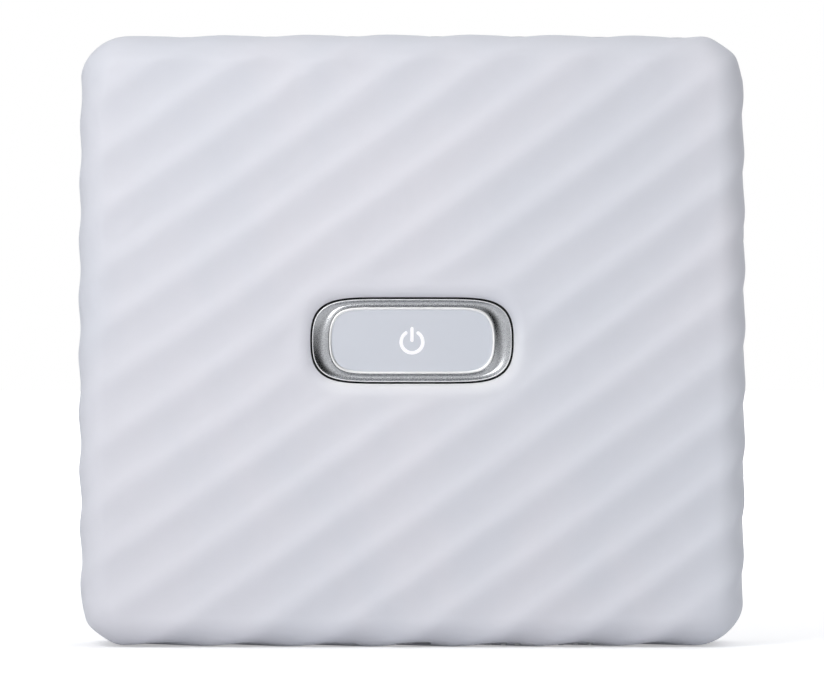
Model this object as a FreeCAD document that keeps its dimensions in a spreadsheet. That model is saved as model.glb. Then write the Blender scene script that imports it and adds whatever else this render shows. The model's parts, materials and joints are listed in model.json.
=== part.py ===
# Pocket instant-film photo printer: an upright case with a central power button, a
# rear film door on a side hinge, a film chamber, a line print head, a pair of
# spreader rollers with their gear train, a film-pick claw and the electronics.
# Millimetres; +X right seen from the front, -Y is the front, +Z up; the origin is
# the middle of the base.  The drive side is -X, the door hinge is on +X.
import FreeCAD, Part
import Sketcher
import math
import os

Vector = FreeCAD.Vector
doc = FreeCAD.newDocument("InstantPrinter")


# ---------------------------------------------------------- driving dimensions
class Size:
    """A number that also carries the spreadsheet expression it comes from."""

    def __init__(self, value, text):
        self.value = float(value)
        self.text = text

    @staticmethod
    def of(number):
        if isinstance(number, Size):
            return number
        number = round(float(number), 6)
        return Size(number, str(number) if number >= 0 else f"({number})")

    def __add__(self, other):
        other = Size.of(other)
        return Size(self.value + other.value, f"({self.text} + {other.text})")

    def __radd__(self, other):
        return Size.of(other) + self

    def __sub__(self, other):
        other = Size.of(other)
        return Size(self.value - other.value, f"({self.text} - {other.text})")

    def __rsub__(self, other):
        return Size.of(other) - self

    def __mul__(self, other):
        other = Size.of(other)
        return Size(self.value * other.value, f"({self.text} * {other.text})")

    def __truediv__(self, other):
        other = Size.of(other)
        return Size(self.value / other.value, f"({self.text} / {other.text})")

    def __neg__(self):
        return Size(-self.value, f"(0 - {self.text})")


sheet = doc.addObject("Spreadsheet::Sheet", "Sizes")


def cell(alias, value, note):
    """Adds a spreadsheet row and returns its value as a Size."""
    cell.row += 1
    sheet.set(f"A{cell.row}", note)
    sheet.set(f"B{cell.row}", str(value))
    sheet.setAlias(f"B{cell.row}", alias)
    return Size(value, "Sizes." + alias)


cell.row = 0

body_w = cell("body_w", 139, "case width")
body_h = cell("body_h", 127.5, "case height")
body_d = cell("body_d", 33.7, "case depth")
wall = cell("wall", 2.4, "case wall")
rear_plate = cell("rear_plate", 2.2, "rear wall and door thickness")
corner_rad = cell("corner_rad", 9.5, "case corner radius, front view")
front_edge_rad = cell("front_edge_rad", 6.0, "front edge rounding")
rear_edge_rad = cell("rear_edge_rad", 4.0, "rear edge rounding")
split_y = cell("split_y", 9.0, "parting plane of the two case shells")
lip_thick = cell("lip_thick", 1.0, "locating lip thickness")
lip_depth = cell("lip_depth", 1.6, "locating lip depth")
button_w = cell("button_w", 41.6, "power button width")
button_h = cell("button_h", 17.4, "power button height")
button_rad = cell("button_rad", 7.2, "power button corner radius")
button_gap = cell("button_gap", 0.4, "gap round the power button")
button_z = cell("button_z", 63.75, "power button centre height")
button_plate_w = cell("button_plate_w", 34.5, "button centre plate width")
button_plate_h = cell("button_plate_h", 13.9, "button centre plate height")
button_plate_rad = cell("button_plate_rad", 4.8, "button centre plate corner radius")
film_plane = cell("film_plane", -4.3, "plane the sheet travels in")
usb_x = cell("usb_x", 0.3, "charging port centre, sideways")
port_y = cell("port_y", -10.6, "charging port row, depth")
port_channel_w = cell("port_channel_w", 7.2, "plug channel width")
chamber_w = cell("chamber_w", 118.5, "film chamber width inside")
chamber_base = cell("chamber_base", 5.0, "film chamber floor")
chamber_h = cell("chamber_h", 99.0, "film chamber height inside")
chamber_front = cell("chamber_front", -5.6, "film chamber front plane")
chamber_rear = cell("chamber_rear", 14.3, "film chamber rear rim")
chamber_wall = cell("chamber_wall", 1.2, "film chamber wall")
door_half_w = cell("door_half_w", 61.5, "film door half width")
door_base = cell("door_base", 5.4, "film door lower edge")
door_top = cell("door_top", 104.2, "film door upper edge")
door_rad = cell("door_rad", 5.65, "film door corner radius")
door_gap = cell("door_gap", 0.35, "gap round the film door")
hinge_x = cell("hinge_x", 64.5, "door hinge axis, sideways")
hinge_y = cell("hinge_y", 15.2, "door hinge axis, depth")
hinge_pin_rad = cell("hinge_pin_rad", 0.75, "hinge pin radius")
hinge_barrel_rad = cell("hinge_barrel_rad", 1.6, "hinge barrel radius")
running_gap = cell("running_gap", 0.05, "radial running clearance")
roller_rad = cell("roller_rad", 4.3, "spreader roller radius")
roller_gap = cell("roller_gap", 0.3, "gap between the rollers")
roller_z = cell("roller_z", 113.2, "roller axis height")
roller_len = cell("roller_len", 111.0, "roller length")
journal_rad = cell("journal_rad", 1.5, "roller journal radius")
boss_x = cell("boss_x", 62.7, "case screw, sideways")
boss_inset = cell("boss_inset", 6.9, "case screw inset from the base and top")
screw_rad = cell("screw_rad", 0.8, "screw shank radius")
board_front = cell("board_front", -9.4, "main board front face")
board_thick = cell("board_thick", 1.0, "main board thickness")
gear_module = cell("gear_module", 0.4, "gear module")
teeth_roller = cell("teeth_roller", 22, "roller gear teeth")
teeth_small = cell("teeth_small", 12, "compound gear small teeth")
teeth_big = cell("teeth_big", 36, "compound gear large teeth")
teeth_idler = cell("teeth_idler", 20, "idler gear teeth")
teeth_pinion = cell("teeth_pinion", 12, "motor pinion teeth")
teeth_cam = cell("teeth_cam", 30, "claw crank gear teeth")
mesh_gap = cell("mesh_gap", 0.08, "extra centre distance of a gear pair")
layer_a_in = cell("layer_a_in", -62.1, "inner gear layer, inner face")
layer_a_out = cell("layer_a_out", -64.1, "inner gear layer, outer face")
layer_b_in = cell("layer_b_in", -64.4, "outer gear layer, inner face")
layer_b_out = cell("layer_b_out", -66.5, "outer gear layer, outer face")
motor_y = cell("motor_y", 10.0, "motor axis, depth")
motor_z = cell("motor_z", 115.4, "motor axis height")
motor_rad = cell("motor_rad", 5.0, "motor can radius")
motor_flat = cell("motor_flat", 8.0, "motor can thickness over its flats")
claw_crank = cell("claw_crank", 3.6, "claw crank pin throw")
side_button_y = cell("side_button_y", -3.5, "side button centre, depth")
side_button_z = cell("side_button_z", 90.0, "side button centre height")
doc.recompute()

# Derived planes and places
case_front = -(body_d / 2)
case_rear = body_d / 2
front_inner = case_front + wall
rear_inner = case_rear - rear_plate
chamber_half = chamber_w / 2
chamber_outer = chamber_half + chamber_wall
chamber_face = chamber_front - chamber_wall
board_rear = board_front + board_thick
rear_roller_y = film_plane + roller_rad + roller_gap / 2
front_roller_y = film_plane - roller_rad - roller_gap / 2

ROOT = 0.2  # overlap that joins a boss to its wall
OUTSIDE = 1  # distance a cutting sketch stands off the face it cuts
BOSS_RAD = 2.0
CLEARANCE_RAD = 0.95  # screw clearance hole
CHASSIS_BOSS_Y = -8.05  # rear end of the front shell's chassis bosses
CASE_SCREWS = [(boss_x * side, z) for side in (-1, 1) for z in (boss_inset, body_h - boss_inset)]
CHASSIS_SCREWS = [(64.0 * side, z) for side in (-1, 1) for z in (30.0, 72.0)]
BOARD_SCREWS = [(-54.0, 20.0), (54.0, 20.0), (-54.0, 90.0), (54.0, 90.0)]
HINGE_SPANS = ((20.0, 32.0), (80.0, 92.0))  # z of the two door arm slots
LUG_H = 3  # hinge lug height beyond each end of the slot
LAMP_XS = [10.0 + 3.0 * i for i in range(10)]  # film-counter lamps
RESET_X = -12.0
LATCH_Z = (51.5, 65.5)
PRESSURE_STEMS = [(x, z) for x in (-29.0, 29.0) for z in (36.0, 76.0)]
BUTTON_SPRING_XS = (-17.0, 17.0)


# --------------------------------------------------------------------- helpers
def serial_name(tag):
    serial_name.count += 1
    return f"{tag}_{serial_name.count:03d}"


serial_name.count = 0


def bind(obj, prop, size):
    if "Sizes." in size.text:
        obj.setExpression(prop, size.text)


def assign(obj, prop, value):
    """Sets a property and binds it to the spreadsheet."""
    size = Size.of(value)
    setattr(obj, prop, size.value)
    bind(obj, prop, size)


def place(obj, position, rotation=None):
    sizes = [Size.of(value) for value in position]
    point = Vector(*[size.value for size in sizes])
    obj.Placement = FreeCAD.Placement(point, rotation or FreeCAD.Rotation())
    for axis, size in zip("xyz", sizes):
        bind(obj, "Placement.Base." + axis, size)
    return obj


def around(centre, half):
    """The span reaching half to each side of centre."""
    return centre - half, centre + half


def box(x, y, z):
    """A block filling the three (low, high) spans."""
    obj = doc.addObject("Part::Box", serial_name("Block"))
    for prop, (low, high) in (("Length", x), ("Width", y), ("Height", z)):
        assign(obj, prop, Size.of(high) - low)
    return place(obj, (x[0], y[0], z[0]))


UP = Vector(0, 0, 1)
ALONG = {
    "x": FreeCAD.Rotation(UP, Vector(1, 0, 0)),
    "y": FreeCAD.Rotation(UP, Vector(0, 1, 0)),
    "z": FreeCAD.Rotation(),
}


def rod(axis, start, radius, length):
    """A cylinder running from start towards the positive end of the axis."""
    obj = doc.addObject("Part::Cylinder", serial_name("Rod"))
    assign(obj, "Radius", radius)
    assign(obj, "Height", length)
    return place(obj, start, ALONG[axis])


def fuse(*objs):
    if len(objs) == 1:
        return objs[0]
    obj = doc.addObject("Part::MultiFuse", serial_name("Union"))
    obj.Shapes = list(objs)
    return obj


def group(*objs):
    obj = doc.addObject("Part::Compound", serial_name("Group"))
    obj.Links = list(objs)
    return obj


def cut(base, *tools):
    obj = doc.addObject("Part::Cut", serial_name("Cut"))
    obj.Base = base
    obj.Tool = fuse(*tools)
    return obj


def common(first, second):
    obj = doc.addObject("Part::MultiCommon", serial_name("Common"))
    obj.Shapes = [first, second]
    return obj


def shape_feature(tag, shape):
    obj = doc.addObject("Part::Feature", serial_name(tag))
    obj.Shape = shape
    return obj


PIECES = []


def node(name, obj):
    """Registers a finished piece under its file name."""
    obj.Label = name
    PIECES.append((name, obj))
    return obj


def piece(build):
    """Decorator: builds a piece at once and names it after its function."""
    return node(build.__name__, build())


# -------------------------------------------------------------- sketch outlines
# An outline is a function that draws itself, fully constrained, in a sketch.
def constrain(sk, value, *args):
    size = Size.of(value)
    index = sk.addConstraint(Sketcher.Constraint(*args, size.value))
    bind(sk, f"Constraints[{index}]", size)


def rounded(x_span, y_span, radius):
    """Rounded rectangle; arcs run anticlockwise from the lower right corner."""

    def draw(sk):
        sizes = [Size.of(value) for value in (*x_span, *y_span, radius)]
        left, right, low, high, rad = (size.value for size in sizes)
        first = sk.GeometryCount
        sides = [
            ((left + rad, low), (right - rad, low)),
            ((right, low + rad), (right, high - rad)),
            ((right - rad, high), (left + rad, high)),
            ((left, high - rad), (left, low + rad)),
        ]
        for start, end in sides:
            sk.addGeometry(Part.LineSegment(Vector(*start, 0), Vector(*end, 0)))
        corners = [
            (right - rad, low + rad, -math.pi / 2),
            (right - rad, high - rad, 0),
            (left + rad, high - rad, math.pi / 2),
            (left + rad, low + rad, math.pi),
        ]
        for x, y, angle in corners:
            circle = Part.Circle(Vector(x, y, 0), UP, rad)
            sk.addGeometry(Part.ArcOfCircle(circle, angle, angle + math.pi / 2))
        rule = Sketcher.Constraint
        for i in range(4):
            side, arc, after = first + i, first + 4 + i, first + (i + 1) % 4
            sk.addConstraint(rule("Tangent", side, 2, arc, 1))
            sk.addConstraint(rule("Tangent", arc, 2, after, 1))
        for i, direction in enumerate(("Horizontal", "Vertical") * 2):
            sk.addConstraint(rule(direction, first + i))
        for i in (5, 6, 7):
            sk.addConstraint(rule("Equal", first + 4, first + i))
        constrain(sk, sizes[4], "Radius", first + 4)
        constrain(sk, sizes[0], "DistanceX", first + 3, 1)
        constrain(sk, sizes[1], "DistanceX", first + 1, 1)
        constrain(sk, sizes[2], "DistanceY", first, 1)
        constrain(sk, sizes[3], "DistanceY", first + 2, 1)

    return draw


def disc(x, y, radius):
    def draw(sk):
        index = sk.GeometryCount
        centre = Vector(Size.of(x).value, Size.of(y).value, 0)
        sk.addGeometry(Part.Circle(centre, UP, Size.of(radius).value))
        constrain(sk, radius, "Radius", index)
        constrain(sk, x, "DistanceX", index, 3)
        constrain(sk, y, "DistanceY", index, 3)

    return draw


def discs(points, radius):
    return [disc(x, y, radius) for x, y in points]


def polygon(points):
    def draw(sk):
        first, count = sk.GeometryCount, len(points)
        corners = [Vector(Size.of(x).value, Size.of(y).value, 0) for x, y in points]
        for i in range(count):
            sk.addGeometry(Part.LineSegment(corners[i], corners[(i + 1) % count]))
        for i in range(count):
            after = first + (i + 1) % count
            sk.addConstraint(Sketcher.Constraint("Coincident", first + i, 2, after, 1))
        for i, (x, y) in enumerate(points):
            constrain(sk, x, "DistanceX", first + i, 1)
            constrain(sk, y, "DistanceY", first + i, 1)

    return draw


def rectangle(x_span, y_span):
    (left, right), (low, high) = x_span, y_span
    return polygon([(left, low), (right, low), (right, high), (left, high)])


# ---------------------------------------------------------------- body features
def new_body(tag):
    return doc.addObject("PartDesign::Body", tag)


def sketch(body, plane, at, *outlines):
    """A sketch on one of the body's origin planes, moved to coordinate `at`
    along the axis square to the plane."""
    sk = body.newObject("Sketcher::SketchObject", serial_name("Sketch"))
    role = plane + "_Plane"
    origin_plane = [f for f in body.Origin.OriginFeatures if f.Role == role][0]
    sk.AttachmentSupport = [(origin_plane, "")]
    sk.MapMode = "FlatFace"
    offset = Size.of(at)
    if plane == "XZ":  # its normal is -Y
        offset = -offset
    sk.AttachmentOffset = FreeCAD.Placement(Vector(0, 0, offset.value), FreeCAD.Rotation())
    bind(sk, "AttachmentOffset.Base.z", offset)
    for draw in outlines:
        draw(sk)
    return sk


# A pad runs towards -Y, +Z or +X from an XZ, XY or YZ sketch, a pocket the
# other way; reverse swaps the direction of either.
def extrude(body, kind, profile, length, reverse):
    feature = body.newObject("PartDesign::" + kind, serial_name(kind))
    feature.Profile = profile
    assign(feature, "Length", length)
    feature.Reversed = reverse
    doc.recompute()


def pad(body, plane, at, length, *outlines, reverse=False):
    extrude(body, "Pad", sketch(body, plane, at, *outlines), length, reverse)


def pocket(body, plane, at, depth, *outlines, reverse=False):
    profile = sketch(body, plane, at, *outlines)
    before = body.Shape.Volume
    extrude(body, "Pocket", profile, depth, reverse)
    if not body.Shape.Volume < before - 1e-3:
        raise RuntimeError(f"pocket in {body.Name} removed nothing")


def fillet(body, pick, radius):
    base = body.Tip
    names = [f"Edge{i + 1}" for i, edge in enumerate(base.Shape.Edges) if pick(edge)]
    if not names:
        raise RuntimeError("no edges to round in " + body.Name)
    feature = body.newObject("PartDesign::Fillet", serial_name("Round"))
    feature.Base = (base, names)
    assign(feature, "Radius", radius)
    doc.recompute()


def on_plane(axis, at):
    """Picks the edges lying in the plane where the axis coordinate is `at`."""
    level = Size.of(at).value

    def pick(edge):
        bounds = edge.BoundBox
        ends = getattr(bounds, axis + "Min"), getattr(bounds, axis + "Max")
        return all(abs(end - level) < 1e-4 for end in ends)

    return pick


def case_outline(inset):
    return rounded(around(0, body_w / 2 - inset), (inset, body_h - inset), corner_rad - inset)


def button_outline(grow):
    return rounded(
        around(0, button_w / 2 + grow), around(button_z, button_h / 2 + grow), button_rad + grow
    )


def button_plate_outline(grow):
    return rounded(
        around(0, button_plate_w / 2 + grow),
        around(button_z, button_plate_h / 2 + grow),
        button_plate_rad + grow,
    )


def screw(facing, x, y, z, head_rad, head_h, shank_rad, shank_len):
    """A cross-recessed pan-head screw along Y. y is the underside of the head;
    facing is +1 or -1, the way along Y that the head faces."""
    recess, slot_half = 0.45, 0.18
    y = Size.of(y)
    if facing > 0:
        head = rod("y", (x, y, z), head_rad, head_h)
        shank = rod("y", (x, y - shank_len, z), shank_rad, shank_len + ROOT)
        depth = (y + head_h - recess, y + head_h + 0.2)
    else:
        head = rod("y", (x, y - head_h, z), head_rad, head_h)
        shank = rod("y", (x, y - ROOT, z), shank_rad, shank_len + ROOT)
        depth = (y - head_h - 0.2, y - head_h + recess)
    arm = head_rad * 0.62
    flat_slot = box(around(x, arm), depth, around(z, slot_half))
    upright_slot = box(around(x, slot_half), depth, around(z, arm))
    return cut(fuse(head, shank), flat_slot, upright_slot)


def bent_spring(x, width, y_foot, y_top, z, span, flat, thick=0.15):
    """A bent leaf spring: two feet at y_foot, a flat crest at y_top."""
    foot_len, bend = 0.55, 0.08
    lift = thick if y_top > y_foot else -thick
    body = new_body("Arch")
    points = [
        (y_foot, z - span), (y_foot + lift, z - span),
        (y_top, z - flat), (y_top, z + flat),
        (y_foot + lift, z + span), (y_foot, z + span),
        (y_foot, z + span - foot_len), (y_top - lift, z + flat - bend),
        (y_top - lift, z - flat + bend), (y_foot, z - span + foot_len),
    ]
    pad(body, "YZ", x - width / 2, width, polygon(points))
    return body


def smooth_lead(points, radius):
    """A round lead swept along a smooth curve through the points."""
    curve = Part.BSplineCurve()
    curve.interpolate([Vector(*point) for point in points])
    tangent = curve.tangent(curve.FirstParameter)[0]
    profile = Part.Wire(Part.Circle(Vector(*points[0]), tangent, radius).toShape())
    path = Part.Wire([curve.toShape()])
    return shape_feature("Lead", path.makePipeShell([profile], True, False))


def routed_lead(points, radius):
    """A round lead of straight runs with balls at the bends."""
    parts = []
    for start, end in zip(points, points[1:]):
        run = Vector(*end) - Vector(*start)
        parts.append(Part.makeCylinder(radius, run.Length, Vector(*start), run))
    for point in points[1:-1]:
        parts.append(Part.makeSphere(radius, Vector(*point)))
    return shape_feature("Lead", parts[0].multiFuse(parts[1:]))


# ------------------------------------------------------------------ case shells
@piece
def front_shell():
    shell = new_body("FrontShell")
    pad(shell, "XZ", split_y, split_y - case_front, case_outline(0))
    fillet(shell, on_plane("Y", case_front), front_edge_rad)
    pocket(shell, "XZ", split_y, split_y - front_inner, case_outline(wall), reverse=True)
    fillet(shell, on_plane("Y", front_inner), front_edge_rad - wall)
    # rebate for the rear shell's lip
    lip_gap = 0.1
    rebate = case_outline(wall - lip_thick - lip_gap)
    pocket(shell, "XZ", split_y, lip_depth + lip_gap, rebate, reverse=True)
    # four corner bosses and four chassis bosses, then their screw holes
    chassis_rad = 2.2
    pad(shell, "XZ", split_y, split_y - front_inner + ROOT, *discs(CASE_SCREWS, BOSS_RAD))
    pad(
        shell, "XZ", CHASSIS_BOSS_Y, CHASSIS_BOSS_Y - front_inner + ROOT,
        *discs(CHASSIS_SCREWS, chassis_rad),
    )
    pocket(shell, "XZ", split_y, 8.0, *discs(CASE_SCREWS, screw_rad), reverse=True)
    pocket(shell, "XZ", CHASSIS_BOSS_Y, 4.5, *discs(CHASSIS_SCREWS, screw_rad), reverse=True)
    # the drive-side lower boss is notched to let the claw strip pass
    pocket(shell, "XZ", 0.8, 5.9, rounded((-62.35, -60.0), (4.5, 9.3), 0.2), reverse=True)
    # button aperture, with its rounded lead-in
    pocket(shell, "XZ", -20, 8, button_outline(button_gap))
    front_edges = on_plane("Y", case_front)

    def aperture_edge(edge):
        bounds = edge.BoundBox
        across = bounds.XMin > -30 and bounds.XMax < 30
        upright = bounds.ZMin > 40 and bounds.ZMax < 90
        return front_edges(edge) and across and upright

    fillet(shell, aperture_edge, 1.2)
    # sheet exit slot in the top
    pocket(shell, "XY", body_h + OUTSIDE, 5, rounded(around(0, 57.3), around(film_plane, 2.0), 1.0))
    # side button aperture
    aperture = rounded(around(side_button_y, 2.5), around(side_button_z, 6.2), 2.49)
    pocket(shell, "YZ", body_w / 2 + OUTSIDE, 5, aperture)
    # plug channel and port opening in the base
    channel = around(usb_x, port_channel_w / 2)
    pocket(shell, "XY", -OUTSIDE, 1.8, rounded(channel, (-15.0, -6.4), 0.5), reverse=True)
    pocket(shell, "XY", -OUTSIDE, 5, rounded(channel, around(port_y, 1.3), 0.5), reverse=True)
    # ten film-counter lamp holes and the reset pin hole in the base
    holes = [disc(x, port_y, 0.65) for x in LAMP_XS] + [disc(RESET_X, port_y, 0.7)]
    pocket(shell, "XY", -OUTSIDE, 5, *holes, reverse=True)
    return shell


@piece
def rear_shell():
    shell = new_body("RearShell")
    pad(shell, "XZ", split_y, case_rear - split_y, case_outline(0), reverse=True)
    fillet(shell, on_plane("Y", case_rear), rear_edge_rad)
    pocket(shell, "XZ", split_y, rear_inner - split_y, case_outline(wall))
    lip_outer = case_outline(wall - lip_thick)
    pad(shell, "XZ", split_y, lip_depth, lip_outer, case_outline(wall))
    # the lip's root overlaps the wall so that the two are one piece
    root = 1.0
    pad(shell, "XZ", split_y + root, root + lip_depth, lip_outer, case_outline(wall + 0.3))
    # corner screw pillars
    pad(
        shell, "XZ", split_y + 0.05, rear_inner - split_y + ROOT,
        *discs(CASE_SCREWS, BOSS_RAD), reverse=True,
    )
    # hinge lugs
    for low, high in HINGE_SPANS:
        lug = rounded((hinge_x - 2.0, hinge_x + 2.1), (13.3, case_rear - 1.0), 0.3)
        pad(shell, "XY", low - LUG_H, high - low + 2 * LUG_H, lug)
    # door opening
    opening = rounded(
        (-door_half_w - door_gap, door_half_w + 0.55),
        (door_base - door_gap, door_top + door_gap),
        door_rad + door_gap,
    )
    pocket(shell, "XZ", case_rear + OUTSIDE, 3.3, opening, reverse=True)
    # slots for the door's hinge arms
    for low, high in HINGE_SPANS:
        slot = rectangle((60.9, hinge_x + 2.25), (12.0, 18.0))
        pocket(shell, "XY", high, high - low, slot)
    # hinge pin bores
    for low, high in HINGE_SPANS:
        bore = disc(hinge_x, hinge_y, hinge_pin_rad)
        pocket(shell, "XY", high + LUG_H, high - low + 2 * LUG_H, bore)
    # screw holes, counterbored from behind
    for radius, depth in ((CLEARANCE_RAD, 12), (1.75, 2.3)):
        holes = discs(CASE_SCREWS, radius)
        pocket(shell, "XZ", case_rear + OUTSIDE, depth, *holes, reverse=True)
    return shell


@piece
def case_screws():
    size = dict(head_rad=1.6, head_h=1.05, shank_rad=screw_rad, shank_len=14.0)
    return group(*[screw(1, x, 15.6, z, **size) for x, z in CASE_SCREWS])


# ------------------------------------------------------------------- sheet exit
@piece
def film_exit_trim():
    trim = new_body("ExitTrim")
    base_z, height = 122.0, 4.8
    pad(trim, "XY", base_z, height, rounded(around(0, 57.1), around(film_plane, 1.8), 0.9))
    # flange under the case top
    pad(trim, "XY", 123.9, 1.1, rounded(around(0, 58.4), around(film_plane, 2.7), 0.9))
    pocket(trim, "XY", 128, 8, rounded(around(0, 55.0), around(film_plane, 0.7), 0.4))
    fillet(trim, on_plane("Z", base_z + height), 0.3)
    return trim


@piece
def exit_light_seal():
    # a strip on each side of the sheet
    strips = [(film_plane - 0.7, film_plane - 0.3), (film_plane + 0.3, film_plane + 0.7)]
    return group(*[box(around(0, 54.5), y, (122.4, 125.6)) for y in strips])


# ----------------------------------------------------------------- film chamber
def chamber_outline(grow, radius):
    """Outline standing `grow` outside the chamber's inner faces."""
    height = (chamber_base - grow, chamber_base + chamber_h + grow)
    return rounded(around(0, chamber_half + grow), height, radius)


@piece
def chamber_frame():
    frame = new_body("Chamber")
    pad(frame, "XZ", chamber_rear, chamber_rear - chamber_face, chamber_outline(chamber_wall, 1.5))
    depth = chamber_rear - chamber_front
    pocket(frame, "XZ", chamber_rear, depth, chamber_outline(0, 0.8), reverse=True)
    # ears for the chassis screws and standoffs for the board
    ear_t = 1.2
    ears = [
        rounded((58.0, 66.1) if x > 0 else (-66.1, -58.0), around(z, 2.2), 2.0)
        for x, z in CHASSIS_SCREWS
    ]
    pad(frame, "XZ", chamber_face, ear_t, *ears)
    pad(frame, "XZ", chamber_face, chamber_face - board_rear, *discs(BOARD_SCREWS, 2.0))
    pocket(frame, "XZ", chamber_face - ear_t, 1.3, *discs(CHASSIS_SCREWS, CLEARANCE_RAD))
    pocket(frame, "XZ", board_rear, 2.0, *discs(BOARD_SCREWS, 0.7))
    # sheet exit slit in the chamber roof
    roof = chamber_base + chamber_h + chamber_wall
    pocket(frame, "XY", roof + OUTSIDE, 2.5, rounded(around(0, 55.5), around(film_plane, 0.9), 0.4))
    # claw slot and latch notch in the drive-side wall
    claw_slot = rounded(
        (film_plane - 0.5, film_plane + 0.7), (chamber_base + 0.05, chamber_base + 8.2), 0.2
    )
    pocket(frame, "YZ", -62.0, 4.0, claw_slot, reverse=True)
    pocket(frame, "YZ", -62.0, 4.0, rectangle((12.8, 15.0), LATCH_Z), reverse=True)
    return frame


@piece
def chassis_screws():
    size = dict(head_rad=1.6, head_h=0.9, shank_rad=screw_rad, shank_len=5.2)
    return group(*[screw(1, x, chamber_face, z, **size) for x, z in CHASSIS_SCREWS])


@piece
def door_light_seal():
    # a thin frame on the chamber rim, interrupted at the latch notch
    seal = new_body("DoorSeal")
    inset = 0.15
    outer = chamber_outline(chamber_wall - inset, 1.4)
    pad(seal, "XZ", chamber_rear, 0.3, outer, chamber_outline(inset, 0.9), reverse=True)
    return cut(seal, box((-62, -58), (14.2, 15), LATCH_Z))


@piece
def loading_mark():
    return box((-chamber_half, -chamber_half + 0.12), (3.0, 12.5), (68.0, 78.0))


# ------------------------------------------------------------------ gear layout
# Gear centres are (y, z); the gears turn about X on the drive side.
LAYER_A = (layer_a_out.value, layer_a_in.value)
LAYER_B = (layer_b_out.value, layer_b_in.value)
AXLE_RAD = 0.75
HUB_RAD = 1.6
CRANK_PIN_RAD = 0.9
COMPOUND_Y = -1.5


def centre_distance(teeth_a, teeth_b, gap):
    return ((teeth_a + teeth_b) * gear_module / 2 + gap).value


rear_roller_at = (rear_roller_y.value, roller_z.value)
front_roller_at = (front_roller_y.value, roller_z.value)
motor_at = (motor_y.value, motor_z.value)

# the compound gear hangs below the rear roller, the crank gear straight below it
roller_reach = centre_distance(teeth_small, teeth_roller, 0.1)
compound_drop = math.sqrt(roller_reach**2 - (rear_roller_at[0] - COMPOUND_Y) ** 2)
compound_at = (COMPOUND_Y, roller_z.value - compound_drop)
crank_at = (COMPOUND_Y, compound_at[1] - centre_distance(teeth_cam, teeth_big, mesh_gap))


def find_idler():
    """The lower of the two points in mesh with both pinion and compound gear."""
    to_motor = centre_distance(teeth_pinion, teeth_idler, mesh_gap)
    to_compound = centre_distance(teeth_idler, teeth_big, mesh_gap)
    dy, dz = compound_at[0] - motor_at[0], compound_at[1] - motor_at[1]
    apart = math.hypot(dy, dz)
    along = (to_motor**2 - to_compound**2 + apart**2) / (2 * apart)
    aside = math.sqrt(to_motor**2 - along**2)
    points = [
        (
            motor_at[0] + (along * dy - side * dz) / apart,
            motor_at[1] + (along * dz + side * dy) / apart,
        )
        for side in (-aside, aside)
    ]
    return min(points, key=lambda point: point[1])


idler_at = find_idler()

# --------------------------------------------------------- side plates and axles
PLATE_T = 0.8
PLATE_FRONT, PLATE_TOP = -14.0, 118.2
BEARING_HALF = 2.3
MOTOR_SCREW_ZS = (motor_z - 3.4, motor_z + 2.0)
drive_plate_x = -chamber_outer - PLATE_T


def side_plate(x, outline, holes):
    """A plate from x towards +X, with a bearing slot and a tab at its front
    edge; holes are (y, z, radius)."""
    plate = new_body("SidePlate")
    pad(plate, "YZ", x, PLATE_T, outline)
    start, depth = x + PLATE_T + OUTSIDE, PLATE_T + 2
    pocket(plate, "YZ", start, depth, *[disc(*hole) for hole in holes])
    slot_half = BEARING_HALF + 0.05
    slot = rounded((-13.6, front_roller_y + slot_half), around(roller_z, slot_half), 0.3)
    pocket(plate, "YZ", start, depth, slot)
    tab = box((x - 0.75, x + 1.55), (-14.1, -13.6), around(roller_z, 2.0))
    return fuse(plate, tab)


ROLLER_HOLE = (rear_roller_y, roller_z, journal_rad + running_gap)


@piece
def drive_side_plate():
    outline = polygon([
        (PLATE_FRONT, 100.0), (-8.0, 86.5), (8.0, 86.5),
        (13.0, 96.0), (13.0, PLATE_TOP), (PLATE_FRONT, PLATE_TOP),
    ])
    holes = [ROLLER_HOLE, (motor_y, motor_z, 1.0)]
    holes += [(y, z, AXLE_RAD) for y, z in (idler_at, compound_at, crank_at)]
    holes += [(motor_y, z, 0.55) for z in MOTOR_SCREW_ZS]
    return side_plate(drive_plate_x, outline, holes)


@piece
def idle_side_plate():
    outline = rectangle((PLATE_FRONT, 8.0), (100.0, PLATE_TOP))
    return side_plate(chamber_outer, outline, [ROLLER_HOLE, (4.0, 103.0, 0.9)])


SLIDER_STUD = (-1.5, 30.0)  # y, z
SPRING_STUD = (3.2, 38.0)


@piece
def gear_axles():
    # three gear axles, the slider's guide stud and the spring stud, all ending
    # at the chamber wall; rows of outer end x, (y, z), radius
    rows = [(layer_b_out - 0.15, at, AXLE_RAD) for at in (idler_at, compound_at, crank_at)]
    rows += [(-63.4, SLIDER_STUD, AXLE_RAD), (-64.2, SPRING_STUD, 0.6)]
    return group(*[rod("x", (x, *at), rad, -chamber_outer - x) for x, at, rad in rows])


# ------------------------------------------------------------------------ gears
PRESSURE_ANGLE = math.radians(20)
TOOTH_THINNING = 0.05  # mm taken off the tooth thickness at the pitch circle
ADDENDUM, DEDENDUM = 0.85, 1.2  # in modules


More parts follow.
